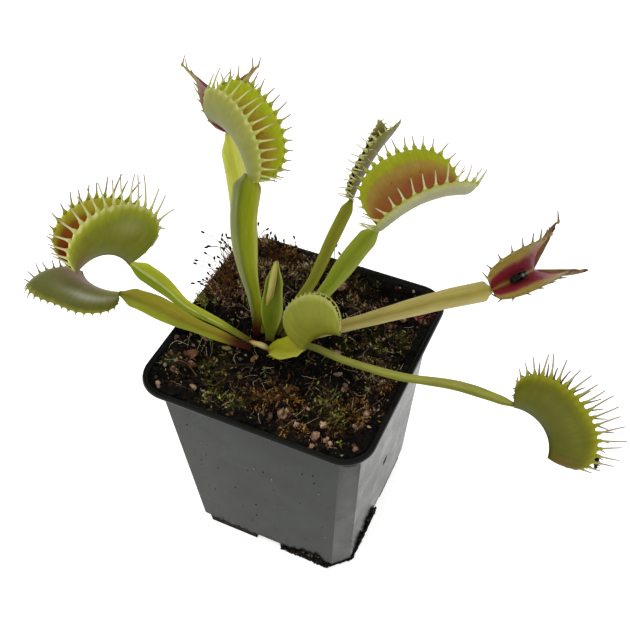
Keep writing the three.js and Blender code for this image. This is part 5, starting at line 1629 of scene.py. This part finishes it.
def moss_shoots(piece, patch, rng):
    """A patch of shoots, each a short stem with pointed leaflets round it."""
    *centre, radius, tall, count, (root_code, tip_code) = patch
    root_tint, patch_tint = colour(root_code), colour(tip_code)
    x, y = clustered(rng, centre, radius * MOSS_SPREAD, count, 0.4)
    count = len(x)
    root = stacked(x, y, clumpy_height(x, y) - 0.3)
    tuft = noise(root, MOSS_CLUMP, SEEDS["tufts"])
    high = tall * rng.uniform(0.35, 1.0, count) * (0.6 + 0.5 * tuft)
    lean = np.column_stack([rng.normal(0, 0.35, (count, 2)), np.ones(count)])
    over_rim = smooth(0.88, 0.98, brim_reach(x, y)) * MOSS_LEAN / SOIL_HALF
    lean[:, :2] += np.column_stack([x, y]) * over_rim[:, None]
    bow = rng.normal(0, 0.25, (count, 3))

    def stems(t):
        """A point or more of each stem, at shares t of its height."""
        return root[:, None] + (lean[:, None] * t + bow[:, None] * t**2) * high[:, None, None]

    t = np.linspace(0, 1, STEM_STATIONS)[None, :, None]
    widths = np.broadcast_to(STEM_RADIUS * (1 - 0.5 * t[..., 0]), (count, STEM_STATIONS))
    shape = tubes(stems(t), widths, sides=3)
    vary = (0.25 + 2.6 * rng.uniform(0, 1, count) ** 2) * (0.08 + 1.9 * smooth(-0.5, 0.6, tuft) ** 1.5)
    # Each shoot strays some way towards another colour
    others = np.array([colour(code) for code in MOSS_STRAYS])[rng.integers(0, len(MOSS_STRAYS), count)]
    # Shoots are darker where the soil is soaked and where shade is painted
    tips = mix(patch_tint, others, rng.uniform(0, 1, (count, 1)) ** 1.5) * (vary * soaked_and_painted_shade_factor(x, y))[:, None]
    share = tube_share(count, STEM_STATIONS, 3)[:, None]
    piece.add(shape, mix(root_tint, np.repeat(tips, len(shape[0]) // count, axis=0), share))
    at = rng.uniform(0.25, 1.0, (count, LEAFLETS))
    axis = unit(lean + bow * 0.5)[:, None]
    base = stems(at[..., None])
    turn = rng.uniform(0, 2 * math.pi, (count, LEAFLETS))
    spread = stacked(np.cos(turn), np.sin(turn), 0)
    length = rng.uniform(0.35, 1.0, (count, LEAFLETS, 1))
    tip = base + (spread * LEAFLET_REACH + axis * LEAFLET_REACH) * length
    side = np.cross(spread, axis) * LEAFLET_HALF
    keel = base + axis * LEAFLET_KEEL[0] - spread * LEAFLET_KEEL[1]
    points = np.stack([base + side, base - side, keel, tip], axis=2).reshape(-1, 3)
    tris = (LEAFLET_FACES + 4 * np.arange(count * LEAFLETS)[:, None, None]).reshape(-1, 3)
    tint = mix(root_tint, np.repeat(tips, 4 * LEAFLETS, axis=0), np.repeat(at.ravel(), 4)[:, None])
    piece.add((points, np.empty((0, 4), int), tris), tint)


def make_moss(material):
    for name, kinds in MOSS_PIECES.items():
        rng = np.random.default_rng(SEEDS["moss"])
        piece = Piece(name)
        for patch in MOSS:
            if patch[-1] in kinds:
                moss_shoots(piece, patch, rng)
        piece.make(material)


# Groups of spore stalks: place, radius, height and how many
SPORE_GROUPS = [
    (-38, 9, 4, 10, 18), (-38, 19, 4, 12, 30), (-38, 28, 4, 12, 30), (-36, 35, 4, 10, 14),
    (-27, 36, 4, 7, 40), (-7, 40, 2.5, 7, 6), (-1, 40, 2.5, 10, 9), (-32, -30, 5, 4, 6),
    (4, -24, 7, 4, 12), (30, -20, 7, 5, 14), (-14, 37, 5, 7, 5),
]
# How much the stalks lean out over the rim
SPORE_LEAN = 0.36
SPORE_STATIONS = 9
SPORE_RADIUS = 0.14
SPORE_TONES = "0 5c2410, 0.6 6c4424, 1 503018"
CAPSULE_RADII = [0.44, 0.44, 0.9]
CAPSULE_COLOURS = ["24160c", "34200e", "5c3a1c"]


def make_spore_stalks(material):
    """Hair-thin stalks that rise from the moss and nod, each with a dark capsule."""
    rng = np.random.default_rng(SEEDS["spore_stalks"])
    piece = Piece("spore_stalks")
    capsule = ball(2)
    for *centre, radius, tall, count in SPORE_GROUPS:
        x, y = clustered(rng, centre, radius * SPORE_SPREAD, count, 0.6)
        count = len(x)
        root = stacked(x, y, soil_height(x, y))
        high = tall * rng.uniform(0.6, 1.15, count)[:, None, None]
        outwards = np.column_stack([x, y]) / SOIL_HALF * SPORE_LEAN
        lean = np.column_stack([rng.normal(0, 0.3, (count, 2)) + outwards, np.ones(count)])[:, None]
        nod = np.column_stack([rng.normal(0, 1, (count, 2)), np.full(count, -0.6)])[:, None] * 0.2
        t = np.linspace(0, 1, SPORE_STATIONS)[None, :, None]
        paths = root[:, None] + (lean * t + nod * t**5) * high
        add_wires(piece, paths, SPORE_RADIUS, 4, shaded(SPORE_TONES, tube_share(count, SPORE_STATIONS, 4)))
        heading = unit(paths[:, -1] - paths[:, -2])
        for end, ahead in zip(paths[:, -1], heading):
            aside = unit(np.cross(ahead, [0.3, 0.5, 0.8]))
            axes = (aside, np.cross(ahead, aside), ahead)
            tint = colour(rng.choice(CAPSULE_COLOURS))
            add_turned(piece, capsule, capsule[0] * CAPSULE_RADII, axes, end + ahead * 0.5, tint)
    piece.make(material)


def make_sprouts(material):
    """Tiny seedlings: a pale stem and two round leaves."""
    rng = np.random.default_rng(SEEDS["sprouts"])
    piece = Piece("sprouts")
    places = sprinkled(SPROUTS, rng, 3)
    disc = ball(2)
    for place in places:
        tall = rng.uniform(*SPROUT_HEIGHTS)
        t = np.linspace(0, 1, SPROUT_STATIONS)[:, None]
        lean = np.array([*rng.normal(0, 0.4, 2), 1.0])
        path = place + lean * t * tall
        add_wires(piece, path[None], SPROUT_RADIUS, 5, colour(SPROUT_STEM))
        turn = rng.uniform(0, math.pi)
        for side in (1, -1):
            out = np.array([math.cos(turn) * side, math.sin(turn) * side, 0.5])
            size = rng.uniform(*SPROUT_LEAF_SIZES)
            ahead, across = unit(out), unit(np.cross(out, [0, 0, 1]))
            axes = (ahead, across, np.cross(ahead, across))
            tint = colour(rng.choice(SPROUT_LEAVES))
            add_turned(piece, disc, disc[0] * [size, size * 0.6, 0.12], axes, path[-1] + ahead * size, tint)
    piece.make(material)


# Litter: bits of dead leaf and long straws on the soil

# Curled scraps: place, length, width, turn in degrees and colour
SCRAPS = [
    (-32.4, -23.7, 6, 4, 60, "9c6c4c"), (-29.5, -27, 3, 2, 10, "8c5c40"),
    (18.6, -5, 3.4, 2, 30, "a89080"), (-13, -22.5, 3, 2, 140, "a08c50"),
    (-24, -12, 3.4, 1.6, 20, "98905a"), (-13.8, -9.5, 3.6, 2, 70, "a88440"),
    (-40, -20, 2.5, 1.6, 100, "7c5c44"),
]
# Points along and across a scrap, how high its middle lies above the soil, and half its thickness
SCRAP_STEPS = 15
SCRAP_RISE = 1.6
SCRAP_HALF = np.array([0, 0, 0.12])
SCRAP_UNDER = "1c120a"
# Long straws, as points over the soil: x, y and how far above it
STRAWS = [
    [(-36, -6, 1), (-33, -13, 4.5), (-32, -21, 1)], [(-39.5, -30, 1.6), (-33, -27, 1.2), (-27, -29, 1)],
    [(-36, -2, 1), (-38, -12, 3), (-36, -20, 0.6)], [(2, -20, 1), (1, -30, 1.6), (4, -36, 1)],
    [(20, -8, 0.6), (22, -18, 2), (20, -26, 1.2)],
]
STRAW_STATIONS = 25
STRAW_RADIUS = 0.12
STRAW_COLOUR = "8c7a54"
# What is left of a dead leaf: a dark stalk that ends in two combs of teeth
DEAD_STALK = [(-12, -14, 3), (-15, -19, 4), (-20, -24, 3.4), (-24, -27, 2)]
DEAD_COMB = {
    "count": 11, "start": (-10, -20), "end": (-19, -28), "above": 3.6, "shifts": (0, 2.2),
    "spine": 0.3, "tooth": 2.6, "width": 0.13, "aside": (0.5, -0.85, 0.5), "droop": (0, 0, -0.7),
}
DEAD_COLOUR = "241a12"
DEAD_TOOTH_COLOUR = "3c2c20"


def over_soil(route):
    """The points of a route, each as far above the soil as it says."""
    x, y, above = np.array(route, float).T
    return np.column_stack([x, y, soil_height(x, y) + above])


def make_litter(material):
    rng = np.random.default_rng(SEEDS["litter"])
    piece = Piece("litter")
    step = np.linspace(-1, 1, SCRAP_STEPS)
    u, v = np.meshgrid(step, step, indexing="ij")
    for x, y, length, width, turn, code in SCRAPS:
        outline = np.sqrt(np.maximum(1 - 0.8 * u**2, 0.02))
        bend = 0.3 * width * (v**2 + 0.4 * u**2) + 0.12 * rng.normal(0, 1) * u
        flat = stacked(u * length / 2, v * outline * width / 2, bend)
        flat = flat + 0.25 * noise(flat + x, 1.4, SEEDS["scraps"])[..., None]
        cosine, sine = math.cos(math.radians(turn)), math.sin(math.radians(turn))
        around = np.array([(cosine, sine, 0), (-sine, cosine, 0), (0, 0, 1)])
        sheet = flat @ around + [x, y, float(soil_height(np.array(x), np.array(y))) + SCRAP_RISE]
        shape = loft(np.concatenate([sheet + SCRAP_HALF, sheet[:, ::-1] - SCRAP_HALF], axis=1))
        mottle = 0.5 + 0.5 * layered(shape[0], 1.4, SEEDS["scraps"] + 1)[:, None]
        piece.add(shape, mix(colour(SCRAP_UNDER), colour(code), 0.25 + 0.75 * mottle))
    for route in STRAWS:
        path = spline(over_soil(route), STRAW_STATIONS - 1)[0]
        add_wires(piece, path[None], STRAW_RADIUS, 5, colour(STRAW_COLOUR))
    path = spline(over_soil(DEAD_STALK), STRAW_STATIONS - 1)[0]
    thick = 0.8 - 0.3 * np.linspace(0, 1, STRAW_STATIONS)
    piece.add(tubes(path[None], thick[None], 0.5 * thick[None], sides=8), colour(DEAD_COLOUR))
    for shift in DEAD_COMB["shifts"]:
        count = DEAD_COMB["count"]
        ends = [(*DEAD_COMB["start"], DEAD_COMB["above"]), (*DEAD_COMB["end"], DEAD_COMB["above"] * 0.7)]
        spine = spline(over_soil(ends) + [shift, -shift, -shift * 0.3], count)[0]
        add_wires(piece, spine[None], DEAD_COMB["spine"], 6, colour(DEAD_COLOUR))
        t = np.linspace(0, 1, 6)[:, None]
        aside, droop = np.array(DEAD_COMB["aside"]), np.array(DEAD_COMB["droop"])
        long = DEAD_COMB["tooth"] * rng.uniform(0.7, 1.1, (count + 1, 1, 1))
        teeth = spine[:, None] + (aside * t + droop * t**2) * long
        widths = DEAD_COMB["width"] * (1 - 0.6 * np.broadcast_to(t[:, 0], (count + 1, 6)))
        piece.add(tubes(teeth, widths, sides=5), colour(DEAD_TOOTH_COLOUR))
    piece.make(material)


# The crown's scales: features per metre across and along it, colours, which are near black partly as painted
# shade of the pit it sits in, and the height of the bumps in mm
CROWN_GRAIN = (900, 900, 160)
CROWN_TONES = "0.35 060302, 0.75 180e08"
CROWN_BUMP = 0.2


def make_crown():
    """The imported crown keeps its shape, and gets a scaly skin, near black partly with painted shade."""
    material, tree, shader = new_material("crown_skin")
    place = node(tree, "TexCoord", output="Object")
    scales = stretched_noise(tree, place, CROWN_GRAIN)
    feed(
        tree,
        shader,
        Base_Color=two_tones(tree, scales, CROWN_TONES),
        Roughness=mapped(tree, scales, (0, 1), (0.5, 0.8)),
        Specular_IOR_Level=0.05,
        Normal=bumps(tree, scales, CROWN_BUMP),
    )
    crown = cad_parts["crown_with_roots"]
    crown.data.materials.clear()
    crown.data.materials.append(material)


# Stage: a pale floor, a white sky and a soft light

SKY = 1.1
WHITE = (1, 1, 1, 1)
# The floor: half its width in metres, its colour, and how much it glows
FLOOR_HALF = 3.0
FLOOR_COLOUR = (0.9, 0.9, 0.9, 1)
FLOOR_GLOW = 0.5
# Soft lights: name, place in metres, size in metres, and power in watts
LIGHTS = [("key", (-0.7, -0.5, 1.3), 1.3, 4.5)]


def make_stage():
    mesh = bpy.data.meshes.new("floor")
    corners = [(x * FLOOR_HALF, y * FLOOR_HALF, 0) for x, y in ((-1, -1), (1, -1), (1, 1), (-1, 1))]
    mesh.from_pydata(corners, [], [range(4)])
    material, tree, shader = new_material("floor")
    feed(
        tree,
        shader,
        Base_Color=FLOOR_COLOUR,
        Roughness=0.9,
        Emission_Color=WHITE,
        Emission_Strength=FLOOR_GLOW,
    )
    mesh.materials.append(material)
    linked("floor", mesh)
    world = bpy.data.worlds.new("sky")
    world.use_nodes = True
    feed(world.node_tree, world.node_tree.nodes["Background"], Color=WHITE, Strength=SKY)
    bpy.context.scene.world = world
    for name, place, size, power in LIGHTS:
        data = bpy.data.lights.new(name, "AREA")
        data.size = size
        data.energy = power
        lamp = linked(name, data)
        lamp.location = place
        lamp.rotation_mode = "QUATERNION"
        lamp.rotation_quaternion = Vector(place).to_track_quat("Z", "Y")
    bpy.context.scene.view_settings.view_transform = "Standard"


make_camera()
make_stage()
make_pot()
make_leaves()
make_prey()
earth = surface("earth", (0.8, 1), (2.4, 2.4, 2.4), (0.2, 1.25), bump=0.3, specular=0.12)
make_soil(earth)
make_crumbs(earth)
make_clinging_soil(earth)
make_grains()
make_fibres(earth)
make_moss(earth)
make_spore_stalks(earth)
make_sprouts(earth)
make_litter(earth)
make_crown()
